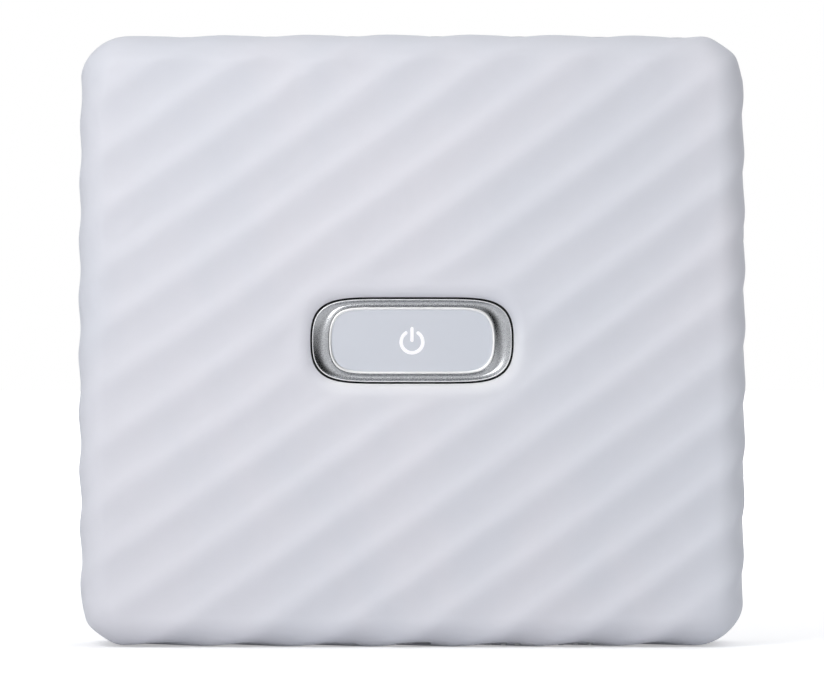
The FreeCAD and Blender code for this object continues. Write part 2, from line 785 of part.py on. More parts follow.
def gear_face(teeth):
    """Involute outline in the XY plane with the first tooth centred on +X."""
    count = int(round(teeth.value))
    module = gear_module.value
    pitch_rad = module * count / 2
    base_rad = pitch_rad * math.cos(PRESSURE_ANGLE)
    tip_rad = pitch_rad + ADDENDUM * module
    root_rad = pitch_rad - DEDENDUM * module
    half_tooth = math.pi / (2 * count) - TOOTH_THINNING / (2 * pitch_rad)
    base_half = half_tooth + math.tan(PRESSURE_ANGLE) - PRESSURE_ANGLE
    undercut = root_rad < base_rad - 1e-6

    def half_angle(radius):
        if radius <= base_rad:
            return base_half
        roll = math.acos(base_rad / radius)
        return base_half - (math.tan(roll) - roll)

    def polar(radius, angle):
        return Vector(radius * math.cos(angle), radius * math.sin(angle), 0)

    def line(start, end):
        return Part.LineSegment(start, end).toShape()

    def flank(points):
        curve = Part.BSplineCurve()
        curve.interpolate(points)
        return curve.toShape()

    flank_start = max(base_rad, root_rad)
    radii = [flank_start + (tip_rad - flank_start) * i / 4.0 for i in range(5)]
    edges, feet = [], []
    for tooth in range(count):
        mid = 2 * math.pi * tooth / count
        rising = [polar(radius, mid - half_angle(radius)) for radius in radii]
        falling = [polar(radius, mid + half_angle(radius)) for radius in reversed(radii)]
        foot_in, foot_out = rising[0], falling[-1]
        if undercut:
            # straight sides from the base circle down to the root
            foot_in = polar(root_rad, mid - base_half)
            foot_out = polar(root_rad, mid + base_half)
            edges.append(line(foot_in, rising[0]))
        edges += [flank(rising), line(rising[-1], falling[0]), flank(falling)]
        if undercut:
            edges.append(line(falling[-1], foot_out))
        feet.append((foot_in, foot_out))
    for tooth in range(count):
        edges.append(line(feet[tooth][1], feet[(tooth + 1) % count][0]))
    return Part.Face(Part.Wire(Part.__sortEdges__(edges)))


def mate_phase(teeth_a, phase_a, centre_a, teeth_b, centre_b):
    """Phase of gear b that puts its tooth in a gap of gear a."""
    angle = math.atan2(centre_b[1] - centre_a[1], centre_b[0] - centre_a[0])
    turned = teeth_a.value * (phase_a - angle)
    return angle + math.pi + (math.pi - turned) / teeth_b.value


def gear(name, centre, phase, stages, bore=0, hubs=()):
    """A gear about X whose first tooth lies at angle phase from +Y towards +Z.
    stages: (teeth, (x low, x high)); hubs: (radius, x low, x high, (offset
    across the axis in the gear's own frame))."""
    start = min([span[0] for _, span in stages] + [hub[1] for hub in hubs])
    solid = None
    for teeth, (low, high) in stages:
        stage = gear_face(teeth).extrude(Vector(0, 0, high - low))
        stage.translate(Vector(0, 0, low - start))
        solid = stage if solid is None else solid.fuse(stage)
    for radius, low, high, offset in hubs:
        solid = solid.fuse(Part.makeCylinder(radius, high - low, Vector(*offset, low - start)))
    if bore:
        solid = solid.cut(Part.makeCylinder(bore, 20, Vector(0, 0, -5)))
    obj = shape_feature("Gear", solid.removeSplitter())
    cos, sin = math.cos(phase), math.sin(phase)
    turn = FreeCAD.Matrix(
        0, 0, 1, start,
        cos, -sin, 0, centre[0],
        sin, cos, 0, centre[1],
        0, 0, 0, 1,
    )
    obj.Placement = FreeCAD.Placement(turn)
    return node(name, obj)


rear_phase = 0.0
front_phase = mate_phase(teeth_roller, rear_phase, rear_roller_at, teeth_roller, front_roller_at)
compound_phase = mate_phase(teeth_roller, rear_phase, rear_roller_at, teeth_small, compound_at)
idler_phase = mate_phase(teeth_big, compound_phase, compound_at, teeth_idler, idler_at)
pinion_phase = mate_phase(teeth_idler, idler_phase, idler_at, teeth_pinion, motor_at)
crank_phase = mate_phase(teeth_big, compound_phase, compound_at, teeth_cam, crank_at)

ON_AXIS = (0, 0)
B_INNER = LAYER_B[1]
axle_bore = (AXLE_RAD + running_gap).value
# the crank pin stands straight below the axis
pin_angle = math.radians(-90) - crank_phase
pin_offset = (claw_crank.value * math.cos(pin_angle), claw_crank.value * math.sin(pin_angle))

for roller_gear, roller_at, roller_phase in (
    ("rear_roller_gear", rear_roller_at, rear_phase),
    ("front_roller_gear", front_roller_at, front_phase),
):
    gear(roller_gear, roller_at, roller_phase, [(teeth_roller, LAYER_A)], journal_rad.value)
gear(
    "compound_gear", compound_at, compound_phase,
    [(teeth_small, LAYER_A), (teeth_big, LAYER_B)], axle_bore,
    [(HUB_RAD, B_INNER, LAYER_A[0], ON_AXIS)],
)
gear(
    "idler_gear", idler_at, idler_phase, [(teeth_idler, LAYER_B)], axle_bore,
    [(HUB_RAD, B_INNER, -62.0, ON_AXIS)],
)
gear(
    "motor_pinion", motor_at, pinion_phase, [(teeth_pinion, LAYER_B)],
    hubs=[(0.75, B_INNER, -59.7, ON_AXIS)],
)
gear(
    "claw_crank_gear", crank_at, crank_phase, [(teeth_cam, LAYER_B)], axle_bore,
    [
        (HUB_RAD, B_INNER, B_INNER + 1.3, ON_AXIS),
        (CRANK_PIN_RAD, B_INNER, B_INNER + 1.5, pin_offset),
    ],
)


# ---------------------------------------------------------------------- rollers
def roller(y):
    overlap, idle_end = 0.3, 62.6
    half = roller_len / 2
    core = rod("x", (-half, y, roller_z), roller_rad, roller_len)
    drive_journal = rod("x", (layer_a_out, y, roller_z), journal_rad, -layer_a_out - half + overlap)
    idle_journal = rod(
        "x", (half - overlap, y, roller_z), journal_rad, idle_end - half + overlap
    )
    return fuse(core, drive_journal, idle_journal)


node("rear_roller", roller(rear_roller_y))
node("front_roller", roller(front_roller_y))
BEARING_XS = (-60.85, 60.85)


def bearing(x):
    block = box(
        around(x, 1.0), around(front_roller_y, BEARING_HALF), around(roller_z, BEARING_HALF)
    )
    return cut(block, rod("x", (x - 2, front_roller_y, roller_z), journal_rad + running_gap, 5))


@piece
def roller_bearings():
    return group(*[bearing(x) for x in BEARING_XS])


@piece
def bearing_springs():
    size = dict(width=1.6, y_foot=-13.58, y_top=-11.1, z=roller_z, span=2.1, flat=0.5)
    return group(*[bent_spring(x, **size) for x in BEARING_XS])


# ------------------------------------------------------------------------ motor
@piece
def drive_motor():
    can_x, can_len = -59.75, 23.0
    can = common(
        rod("x", (can_x, motor_y, motor_z), motor_rad, can_len),
        box((can_x, can_x + can_len), around(motor_y, motor_flat / 2), around(motor_z, 6)),
    )
    nose = rod("x", (-60.4, motor_y, motor_z), 2.0, 1.0)
    tail = rod("x", (-37.0, motor_y, motor_z), 2.2, 1.4)
    heights = [(motor_z + 3.0, motor_z + 4.2), (motor_z - 4.2, motor_z - 3.0)]
    terminals = fuse(*[box((-36.9, -35.2), around(motor_y, 0.3), z) for z in heights])
    shaft_bore = rod("x", (-66, motor_y, motor_z), 0.8, 8.0)
    screw_holes = [rod("x", (-62, motor_y, z), 0.5, 4.0) for z in MOTOR_SCREW_ZS]
    return cut(fuse(can, nose, tail, terminals), shaft_bore, *screw_holes)


@piece
def motor_screws():
    def motor_screw(z):
        head_rad, head_h, shank_rad, shank_len = 0.95, 0.7, 0.5, 2.6
        head = rod("x", (drive_plate_x - head_h, motor_y, z), head_rad, head_h)
        return fuse(head, rod("x", (drive_plate_x - ROOT, motor_y, z), shank_rad, shank_len))

    return group(*[motor_screw(z) for z in MOTOR_SCREW_ZS])


# ------------------------------------------------------------------ claw slider
@piece
def claw_slider():
    strip_x = (-61.95, -61.45)
    crank_z = crank_at[1]
    foot_z = chamber_base + 0.3
    strip = fuse(
        box(strip_x, (-4.5, 1.5), (14.0, crank_z + 5.0)),
        box(strip_x, (-4.5, 0.3), (foot_z, 14.5)),
    )
    # slots that clear the crank axle and the guide stud
    slots = [
        box((-63, -61), (-2.35, -0.65), z)
        for z in ((crank_z - 8.0, crank_z + 0.95), (22.0, 30.95))
    ]
    pin_bottom = crank_z - claw_crank - CRANK_PIN_RAD
    ledge = box((-62.7, -61.45), (0.0, 4.4), (pin_bottom + 2.0, pin_bottom + 3.2))
    hook = box((-61.95, -57.9), (film_plane - 0.2, film_plane + 0.4), (foot_z, foot_z + 0.6))
    ear = box((-63.4, -61.45), (1.0, 4.2), (56.0, 56.8))
    return fuse(cut(strip, *slots), ledge, hook, ear)


@piece
def claw_spring():
    # a flat zigzag between the spring stud and the slider's ear
    x, y, swing, pitch = -62.9, SPRING_STUD[0], 0.75, 1.2
    bends = [(x, y + (swing if i % 2 else -swing), 39.9 + pitch * i) for i in range(13)]
    return routed_lead([(x, y, 38.85), *bends, (x, y, 55.6)], 0.17)


# ------------------------------------------------------------------- print head
@piece
def print_head_housing():
    housing = new_body("HeadHousing")
    profile = polygon([  # y, z
        (-14.2, 98.6), (-7.0, 98.6), (-7.0, 105.5), (-5.1, 105.5),
        (-5.1, 108.3), (-12.0, 108.3), (-14.2, 106.4),
    ])
    pad(housing, "YZ", -57.0, 114.0, profile)
    # recesses for the lens, the board and the flex; rows of half length, y, z
    recesses = [
        (55.1, (-11.5, -4.0), (106.2, 107.4)),
        (55.1, (-15.0, -12.6), (99.4, 105.6)),
        (8.2, (-15.0, -12.8), (98.0, 99.6)),
    ]
    for half, y, z in recesses:
        pocket(housing, "YZ", -half, 2 * half, rectangle(y, z), reverse=True)
    return housing


@piece
def print_head_lens():
    return box(around(0, 55.0), (-9.5, -4.9), (106.25, 107.35))


@piece
def print_head_board():
    return box(around(0, 54.8), (-14.1, -13.3), (99.6, 105.4))


@piece
def print_head_flex():
    flex = new_body("HeadFlex")
    profile = polygon([  # y, z: down the rear face, then back up the front face
        (-13.25, 101.0), (-13.05, 101.0), (-13.05, 99.5), (-14.2, 98.5),
        (-14.2, 97.4), (-11.05, 94.6), (-11.05, 92.8), (-11.25, 92.8),
        (-11.25, 94.5), (-14.4, 97.3), (-14.4, 98.55), (-13.25, 99.6),
    ])
    pad(flex, "YZ", -8.0, 16.0, profile)
    return flex


# ------------------------------------------------------------------ electronics
@piece
def main_board():
    board = new_body("MainBoard")
    outline = polygon([  # x, z
        (-58, 14), (-16, 14), (-16, 3.3), (42, 3.3), (42, 14),
        (58, 14), (58, 84), (65, 84), (65, 96.5), (-58, 96.5),
    ])
    pad(board, "XZ", board_rear, board_thick, outline)
    pocket(board, "XZ", board_rear, 1.2, *discs(BOARD_SCREWS, 0.85), reverse=True)
    return board


@piece
def board_screws():
    size = dict(head_rad=1.5, head_h=0.8, shank_rad=0.7, shank_len=2.4)
    return group(*[screw(-1, x, board_front, z, **size) for x, z in BOARD_SCREWS])


# x low, x high, z low, z high, height off the board
CHIPS = [
    (-50, -28, 40, 66, 2.2), (-20, -8, 78, 90, 1.1), (2, 9, 80, 87, 0.9),
    (12, 20, 76, 82, 1.6), (-13, 13, 92.2, 94.6, 1.55), (-57.5, -52.0, 92.3, 95.7, 2.4),
    (18, 25, 16.5, 20.5, 2.6), (-44, -36, 22, 30, 1.4), (-24, -18, 24, 30, 2.0),
    (-8, -2, 26, 32, 2.4), (4, 8, 34, 42, 1.2), (-54, -48, 76, 79, 1.0),
    (-13.6, -10.4, 4.1, 6.6, 2.4),
]
LAMP_CHIPS = [(x - 0.6, x + 0.6, 3.4, 4.2, 1.6) for x in LAMP_XS]


@piece
def board_components():
    parts = [
        box((left, right), (board_front - height, board_front), (low, high))
        for left, right, low, high, height in CHIPS + LAMP_CHIPS
    ]
    # the part on the rear face, behind the side button
    parts.append(box((62.0, 64.4), (-8.4, -4.4), (87.5, 92.5)))
    return group(*parts)


@piece
def power_switch():
    base = box(around(0, 3.0), (board_front - 0.9, board_front), around(button_z, 3.0))
    return fuse(base, rod("y", (0, board_front - 1.2, button_z), 1.6, 0.5))


BATTERY_REAR = -9.7


@piece
def battery_cell():
    battery = new_body("Battery")
    thick = 4.4
    pad(battery, "XZ", BATTERY_REAR, thick, rounded((27.5, 56.5), (24.0, 84.0), 1.2))
    rear_edges = on_plane("Y", BATTERY_REAR)
    front_edges = on_plane("Y", BATTERY_REAR - thick)
    fillet(battery, lambda edge: rear_edges(edge) or front_edges(edge), 1.0)
    return battery


@piece
def battery_tape():
    return box((31.0, 53.0), (BATTERY_REAR, -9.45), (30.0, 78.0))


LEAD_RAD = 0.45
# x, y, z points along each lead
BATTERY_LEADS = [
    [(34.0, -11.2, 23.95), (33.5, -11.4, 21.5), (30.0, -11.6, 19.4), (25.2, -10.9, 19.3)],
    [(38.0, -11.2, 23.95), (37.0, -11.6, 19.8), (31.5, -12.2, 17.5), (25.2, -10.9, 17.7)],
]
MOTOR_LEADS = [
    [
        (-35.1, 10.0, 119.0), (-33.9, 10.0, 119.2), (-33.9, 10.4, 121.4),
        (-50.0, 10.5, 121.5), (-57.9, 6.5, 120.8), (-57.9, -9.0, 120.3),
        (-57.85, -13.5, 117.0), (-57.85, -13.5, 101.0), (-57.4, -12.4, 97.9),
        (-56.3, -10.9, 97.3), (-56.3, -10.7, 95.85),
    ],
    [
        (-35.1, 10.0, 111.8), (-33.0, 10.4, 112.0), (-32.6, 11.2, 118.5),
        (-33.6, 11.9, 121.4), (-50.0, 12.0, 121.5), (-59.05, 8.0, 120.8),
        (-59.05, -9.0, 120.3), (-58.95, -13.5, 117.0), (-58.95, -13.5, 100.5),
        (-58.4, -12.7, 97.2), (-54.2, -11.2, 97.2), (-53.8, -10.7, 95.85),
    ],
]


@piece
def battery_leads():
    return group(*[smooth_lead(points, LEAD_RAD) for points in BATTERY_LEADS])


@piece
def motor_leads():
    return group(*[routed_lead(points, LEAD_RAD) for points in MOTOR_LEADS])


@piece
def usb_port():
    port = new_body("UsbPort")
    pad(port, "XY", 1.0, 5.0, rounded(around(usb_x, 3.45), around(port_y, 1.15), 0.6))
    mouth = rounded(around(usb_x, 3.2), around(port_y, 0.9), 0.4)
    pocket(port, "XY", 1.0, 4.4, mouth, reverse=True)
    return port


@piece
def usb_contact_tongue():
    return box(around(usb_x, 2.4), (port_y - 0.1, port_y + 0.5), (1.7, 5.4))


def stacked_rods(x, rows):
    """Upright rods on the port row, fused; rows of base z, radius, length."""
    return fuse(*[rod("z", (x, port_y, z), radius, length) for z, radius, length in rows])


@piece
def film_counter_light_pipes():
    rows = [(0.35, 0.6, 2.5), (2.5, 0.95, 0.45)]
    return group(*[stacked_rods(x, rows) for x in LAMP_XS])


@piece
def reset_button():
    return stacked_rods(RESET_X, [(2.45, 1.1, 0.7), (1.6, 0.55, 0.9), (3.0, 0.6, 0.7)])


# ----------------------------------------------------------------- power button
BUTTON_BACK = -14.3  # rear face of the bezel and the centre plate
BEZEL_FRONT = BUTTON_BACK - 2.0
PLATE_SEAT_GAP = 0.06
PLUNGER_Y = BUTTON_BACK + 1.0  # rear face of the plunger's flange


@piece
def button_bezel():
    bezel = new_body("Bezel")
    pad(bezel, "XZ", BUTTON_BACK, BUTTON_BACK - BEZEL_FRONT, button_outline(0))
    # dish sloping in from the rim to the centre plate
    rim = sketch(bezel, "XZ", BEZEL_FRONT, button_outline(-0.35))
    seat = sketch(bezel, "XZ", BEZEL_FRONT + 1.0, button_plate_outline(PLATE_SEAT_GAP))
    doc.recompute()
    dish = bezel.newObject("PartDesign::SubtractiveLoft", serial_name("Dish"))
    dish.Profile = rim
    dish.Sections = [seat]
    dish.Ruled = True
    doc.recompute()
    pocket(bezel, "XZ", -17, 3, button_plate_outline(PLATE_SEAT_GAP))
    return bezel


def symbol():
    """The power sign: an open ring with a bar in its gap."""
    front, thick = -15.78, 0.4
    ring_z = button_z - 0.3
    ring = cut(
        rod("y", (0, front, ring_z), 2.6, thick),
        rod("y", (0, -16, ring_z), 1.9, 1),
        box(around(0, 1.0), (-16, -15), (ring_z, button_z + 4)),
    )
    bar_z = (button_z - 0.1, button_z + 3.0)
    return fuse(ring, box(around(0, 0.36), (front, front + thick), bar_z))


@piece
def button_plate():
    plate = new_body("ButtonPlate")
    thick = 1.45
    pad(plate, "XZ", BUTTON_BACK, thick, button_plate_outline(0))
    fillet(plate, on_plane("Y", BUTTON_BACK - thick), 0.4)
    return cut(plate, symbol())


@piece
def power_symbol():
    return symbol()


@piece
def button_plunger():
    plunger = new_body("Plunger")
    pad(plunger, "XZ", PLUNGER_Y, 1.0, rounded(around(0, 22.4), around(button_z, 10.2), 8.6))
    # centre post and two spring posts, towards the rear
    pad(plunger, "XZ", PLUNGER_Y, 1.7, disc(0, button_z, 2.2), reverse=True)
    posts = [disc(x, button_z, 0.9) for x in BUTTON_SPRING_XS]
    pad(plunger, "XZ", PLUNGER_Y, 1.0, *posts, reverse=True)
    return plunger


@piece
def button_springs():
    size = dict(width=3.0, y_foot=-9.45, y_top=-12.25, z=button_z, span=6.0, flat=1.0, thick=0.18)
    return group(*[bent_spring(x, **size) for x in BUTTON_SPRING_XS])


@piece
def side_button():
    button = new_body("SideButton")
    base_x, height = 66.0, 3.35
    cap = rounded(around(side_button_y, 2.3), around(side_button_z, 6.0), 2.29)
    pad(button, "YZ", base_x, height, cap)
    fillet(button, on_plane("X", base_x + height), 0.6)
    flange = rounded(around(side_button_y, 3.1), around(side_button_z, 7.0), 2.9)
    pad(button, "YZ", 65.9, 1.0, flange)
    # three small posts on the inner face
    posts = [disc(-6.0, side_button_z, 0.5)]
    posts += discs([(-4.9, side_button_z + 2.0), (-4.9, side_button_z - 2.0)], 0.8)
    pad(button, "YZ", 65.05, 1.0, *posts)
    return button


# -------------------------------------------------------------------- film door
@piece
def film_door():
    door = new_body("DoorPanel")
    panel = rounded(around(0, door_half_w), (door_base, door_top), door_rad)
    pad(door, "XZ", rear_inner, rear_plate, panel, reverse=True)
    fillet(door, on_plane("Y", case_rear), 0.5)
    # hinge arms and barrels
    end_gap = 0.2
    for low, high in HINGE_SPANS:
        length = high - low - 2 * end_gap
        arm = rectangle((60.8, hinge_x), (13.65, hinge_y + hinge_barrel_rad))
        pad(door, "XY", low + end_gap, length, arm)
        pad(door, "XY", low + end_gap, length, disc(hinge_x, hinge_y, hinge_barrel_rad))
        bore = disc(hinge_x, hinge_y, hinge_pin_rad + running_gap)
        pocket(door, "XY", high, high - low, bore)
    # lock recess, lock slot and film window opening, cut from behind
    openings = [
        (1.9, rounded((-58.9, -48.9), (52.6, 64.4), 1.6)),
        (4, rounded((-57.4, -50.5), (55.4, 61.6), 0.5)),
        (4, rounded(around(0, 7.2), (22.3, 27.7), 2.69)),
    ]
    for depth, outline in openings:
        pocket(door, "XZ", case_rear + OUTSIDE, depth, outline, reverse=True)
    # four guide sockets for the pressure plate stems
    socket_h = 0.6
    pad(door, "XZ", rear_inner, socket_h, *discs(PRESSURE_STEMS, 2.4))
    pocket(door, "XZ", rear_inner - socket_h, 2.0, *discs(PRESSURE_STEMS, 1.3))
    return door


@piece
def film_window():
    window = new_body("Window")
    thick = 1.7
    pane = rounded(around(0, 7.15), (22.35, 27.65), 2.64)
    pad(window, "XZ", case_rear - 2.0, thick, pane, reverse=True)
    fillet(window, on_plane("Y", case_rear - 2.0 + thick), 0.3)
    return window


@piece
def hinge_pins():
    reach = 2.7  # beyond each end of the arm slot
    return group(*[
        rod("z", (hinge_x, hinge_y, low - reach), hinge_pin_rad, high - low + 2 * reach)
        for low, high in HINGE_SPANS
    ])


@piece
def pressure_plate():
    plate = new_body("PressurePlate")
    rear_y, thick = 13.2, 0.9
    rails = [rounded(x, (30.0, 82.0), 2.0) for x in ((-35.0, -23.0), (23.0, 35.0))]
    pad(plate, "XZ", rear_y, thick, *rails)
    # cross bar, then the guide stems
    pad(plate, "XZ", rear_y, 0.5, rounded(around(0, 24.0), (52.0, 60.0), 1.0))
    pad(plate, "XZ", rear_y, 1.3, *discs(PRESSURE_STEMS, 1.2), reverse=True)
    fillet(plate, on_plane("Y", rear_y - thick), 0.3)
    return plate


# y, z outline of a leaf spring, feet to the rear
LEAF = [
    (14.6, 44.0), (14.45, 44.0), (13.25, 54.0), (13.25, 58.0), (14.45, 68.0),
    (14.6, 68.0), (14.6, 67.2), (13.45, 57.9), (13.45, 54.1), (14.6, 44.8),
]


@piece
def pressure_springs():
    def leaf(x, width=4.0):
        body = new_body("Leaf")
        pad(body, "YZ", x - width / 2, width, polygon(LEAF))
        return body

    return group(leaf(-29.0), leaf(29.0))


@piece
def door_lock_slider():
    # a two-position slide, drawn in its released position; it moves towards -X
    # to put its tongue behind the edge of the rear shell
    lock = new_body("Lock")
    thumb_y, thumb_t = 16.05, 0.75
    thumb = rounded((-55.6, -49.5), (53.0, 64.0), 1.3)
    pad(lock, "XZ", thumb_y, thumb_t, thumb, reverse=True)
    fillet(lock, on_plane("Y", thumb_y + thumb_t), 0.3)
    neck = rounded((-54.4, -50.9), (55.8, 61.2), 0.4)
    pad(lock, "XZ", 14.4, 1.8, neck, reverse=True)
    tongue = rounded((-61.4, -49.6), (53.0, 64.0), 0.6)
    pad(lock, "XZ", 14.5, 1.1, tongue)
    # grip grooves
    groove_w, pitch = 0.5, 1.3
    for i in range(4):
        left = -54.7 + pitch * i
        groove = rounded((left, left + groove_w), (54.2, 62.8), 0.2)
        pocket(lock, "XZ", 17.0, 0.5, groove, reverse=True)
    return lock


# ----------------------------------------------------------------------- export
doc.recompute()
failed = [o.Name for o in doc.Objects if "Invalid" in o.State or "Error" in o.State]
if failed:
    raise RuntimeError("failed objects: " + ", ".join(failed))
for name, obj in PIECES:
    shape = obj.Shape
    if shape.isNull() or not shape.isValid() or not shape.Solids:
        raise RuntimeError("bad shape: " + name)
os.makedirs("parts", exist_ok=True)
for name, obj in PIECES:
    obj.Shape.exportStep("parts/" + name + ".step")
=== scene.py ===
"""An instant-film device: a pearl-white case with slanting ridges over its front and a
silver-ringed power button. The case stands on z = 0, faces -Y, and its right side is +X.
The front shell, button and springs are modelled here; the other CAD pieces get materials.
Lengths are in millimetres unless a comment says metres."""
import json
import math
from collections import namedtuple

import bmesh
import bpy
import numpy as np
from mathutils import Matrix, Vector


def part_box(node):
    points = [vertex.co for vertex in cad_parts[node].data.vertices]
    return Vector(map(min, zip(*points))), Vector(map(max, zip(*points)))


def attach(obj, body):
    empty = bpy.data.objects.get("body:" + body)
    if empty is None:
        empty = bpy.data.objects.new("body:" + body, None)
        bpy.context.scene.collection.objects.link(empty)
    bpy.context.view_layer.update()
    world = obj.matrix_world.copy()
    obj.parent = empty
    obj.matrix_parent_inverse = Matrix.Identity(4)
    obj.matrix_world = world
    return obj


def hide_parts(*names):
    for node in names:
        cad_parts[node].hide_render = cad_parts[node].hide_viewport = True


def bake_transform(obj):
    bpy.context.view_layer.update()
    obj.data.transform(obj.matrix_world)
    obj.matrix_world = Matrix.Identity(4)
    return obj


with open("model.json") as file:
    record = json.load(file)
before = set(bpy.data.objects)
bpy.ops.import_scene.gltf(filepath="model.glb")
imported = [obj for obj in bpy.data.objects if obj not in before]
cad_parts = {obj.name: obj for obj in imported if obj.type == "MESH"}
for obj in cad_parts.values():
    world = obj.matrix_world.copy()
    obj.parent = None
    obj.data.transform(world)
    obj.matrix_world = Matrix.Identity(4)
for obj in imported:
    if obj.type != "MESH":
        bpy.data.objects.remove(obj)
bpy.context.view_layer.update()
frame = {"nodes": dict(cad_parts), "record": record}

MM = 0.001


class Box(namedtuple("Box", "x0 x1 y0 y1 z0 z1")):
    """A CAD node's box."""
    half_x = property(lambda self: (self.x1 - self.x0) / 2)
    half_z = property(lambda self: (self.z1 - self.z0) / 2)
    mid_x = property(lambda self: (self.x0 + self.x1) / 2)
    mid_y = property(lambda self: (self.y0 + self.y1) / 2)
    mid_z = property(lambda self: (self.z0 + self.z1) / 2)


def box_of(node):
    low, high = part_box(node)
    return Box(low.x / MM, high.x / MM, low.y / MM, high.y / MM, low.z / MM, high.z / MM)


# ---------------------------------------------------------------- dimensions
CASE = box_of("front_shell")
BEZEL = box_of("button_bezel")
PLATE = box_of("button_plate")
FILM_EXIT = box_of("film_exit_trim")
SIDE_BUTTON = box_of("side_button")
USB = box_of("usb_port")
LIGHT_PIPES = box_of("film_counter_light_pipes")
RESET = box_of("reset_button")
CASE_SCREWS = box_of("case_screws")

# case: outline corner radius, the rolled front edge and the wall
CASE_CORNER = 9.5
ROLL_INSET = 6.0
ROLL_DEPTH = 7.6
WALL = 2.4
INNER_FACE_Y = CASE.y0 + WALL

# button ring, and the aperture round it; both outlines are superellipses
RING_HALF_X = BEZEL.half_x - 0.12
RING_HALF_Z = BEZEL.half_z - 0.12
RING_CORNER = 7.2
APERTURE_HALF_X = BEZEL.half_x + 0.28
APERTURE_HALF_Z = BEZEL.half_z + 0.28
APERTURE_CORNER = RING_CORNER + 0.9
RING_POWERS = (6.1, 2.75)
RING_TROUGH = 0.50

# the face sinks towards the aperture, then turns in over a small rounded lip
DIP_DEPTH = 1.22
DIP_WIDTH = 2.7
LIP_RADIUS = 0.16

# button plate
PLATE_CORNER = 4.8
PLATE_POWERS = (8.5, 2.4)

# ridges: pitch, direction across them, height, phase in degrees
RIDGE_PITCH = 10.045
RIDGE_DIR_X = 0.575
RIDGE_DIR_Z = -0.818
RIDGE_HEIGHT = 0.52
RIDGE_PHASE = -65.5
RIDGE_CREST = 0.12          # second harmonic, makes the crests tighter
RIDGE_SPAN_X = 66.0         # distances from the centre where the variations are full
RIDGE_SPAN_Z = 60.0

# bosses inside the front shell, as (x, z)
SCREW_INSET = 1.6
CORNER_BOSSES = [
    (side * (CASE_SCREWS.x1 - SCREW_INSET), z)
    for side in (-1, 1)
    for z in (CASE_SCREWS.z0 + SCREW_INSET, CASE_SCREWS.z1 - SCREW_INSET)
]
CHASSIS_BOSSES = [(side * 64.0, z) for side in (-1, 1) for z in (30.0, 72.0)]
PILOT_RADIUS = 0.85

# studio, in metres
CASE_MID_HEIGHT = 0.06375
CAMERA_DISTANCE = 1.25
CAMERA_RISE = 0.00041679
VIEW_WIDTH = 0.17171814
SENSOR_WIDTH = 36.0         # in millimetres


# ------------------------------------------------------------------ geometry
def smooth(start, end, x):
    t = np.clip((np.asarray(x, float) - start) / (end - start), 0.0, 1.0)
    return t * t * (3.0 - 2.0 * t)


def rounded_outline(half_x, half_z, radius, count):
    """Evenly spaced points round a rounded rectangle, with their outward normals,
    starting at +X and going counter-clockwise."""
    in_x, in_z = half_x - radius, half_z - radius
    # straight sides as (start, end), corners as (centre, start angle)
    segments = [
        ((half_x, 0), (half_x, in_z)), ((in_x, in_z), 0.0),
        ((in_x, half_z), (-in_x, half_z)), ((-in_x, in_z), 90.0),
        ((-half_x, in_z), (-half_x, -in_z)), ((-in_x, -in_z), 180.0),
        ((-in_x, -half_z), (in_x, -half_z)), ((in_x, -in_z), 270.0),
        ((half_x, -in_z), (half_x, 0)),
    ]
    lengths = []
    for start, end in segments:
        if isinstance(end, tuple):
            lengths.append(math.hypot(end[0] - start[0], end[1] - start[1]))
        else:
            lengths.append(radius * math.pi / 2)
    total = sum(lengths)
    points, normals = [], []
    for k in range(count):
        t = total * k / count
        for (start, end), length in zip(segments, lengths):
            if t <= length:
                break
            t -= length
        if isinstance(end, tuple):
            dx, dz = (end[0] - start[0]) / length, (end[1] - start[1]) / length
            points.append((start[0] + dx * t, start[1] + dz * t))
            normals.append((dz, -dx))
        else:
            angle = math.radians(end) + t / radius
            c, s = math.cos(angle), math.sin(angle)
            points.append((start[0] + radius * c, start[1] + radius * s))
            normals.append((c, s))
    return np.array(points), np.array(normals)


def outline_angles(outline):
    return np.arctan2(outline[:, 1], outline[:, 0])


def superellipse(half_x, half_z, powers, angles):
    """Where rays from the centre leave the curve (x/half_x)^m + (z/half_z)^n = 1,
    found by bisection."""
    c, s = np.abs(np.cos(angles)) / half_x, np.abs(np.sin(angles)) / half_z
    low, high = np.zeros_like(c), np.full_like(c, 3.0 * max(half_x, half_z))
    for _ in range(50):
        t = (low + high) / 2
        outside = (t * c) ** powers[0] + (t * s) ** powers[1] > 1.0
        high = np.where(outside, t, high)
        low = np.where(outside, low, t)
    return np.stack([t * np.cos(angles), t * np.sin(angles)], 1)


def rounded_distance(x, z, half_x, half_z, radius):
    """Signed distance to a rounded rectangle, positive outside."""
    qx, qz = np.abs(x) - (half_x - radius), np.abs(z) - (half_z - radius)
    outside = np.hypot(np.maximum(qx, 0), np.maximum(qz, 0))
    return outside + np.minimum(np.maximum(qx, qz), 0) - radius


def ring_at(xz, y, mid_z):
    return np.stack([xz[:, 0], np.full(len(xz), float(y)), xz[:, 1] + mid_z], 1)


def link(ob):
    bpy.context.scene.collection.objects.link(ob)
    return ob


def mesh_object(name, bm, material):
    """Turn a bmesh into a linked object with one material."""
    mesh = bpy.data.meshes.new(name)
    bm.to_mesh(mesh)
    bm.free()
    mesh.materials.append(material)
    return link(bpy.data.objects.new(name, mesh))


def recalc_normals(bm):
    bmesh.ops.recalc_face_normals(bm, faces=bm.faces[:])


def sharpen(mesh, angle):
    """Smooth faces, with edges steeper than the angle kept sharp."""
    bm = bmesh.new()
    bm.from_mesh(mesh)
    for face in bm.faces:
        face.smooth = True
    limit = math.radians(angle)
    for edge in bm.edges:
        edge.smooth = not (len(edge.link_faces) == 2 and edge.calc_face_angle(0.0) > limit)
    bm.to_mesh(mesh)
    bm.free()


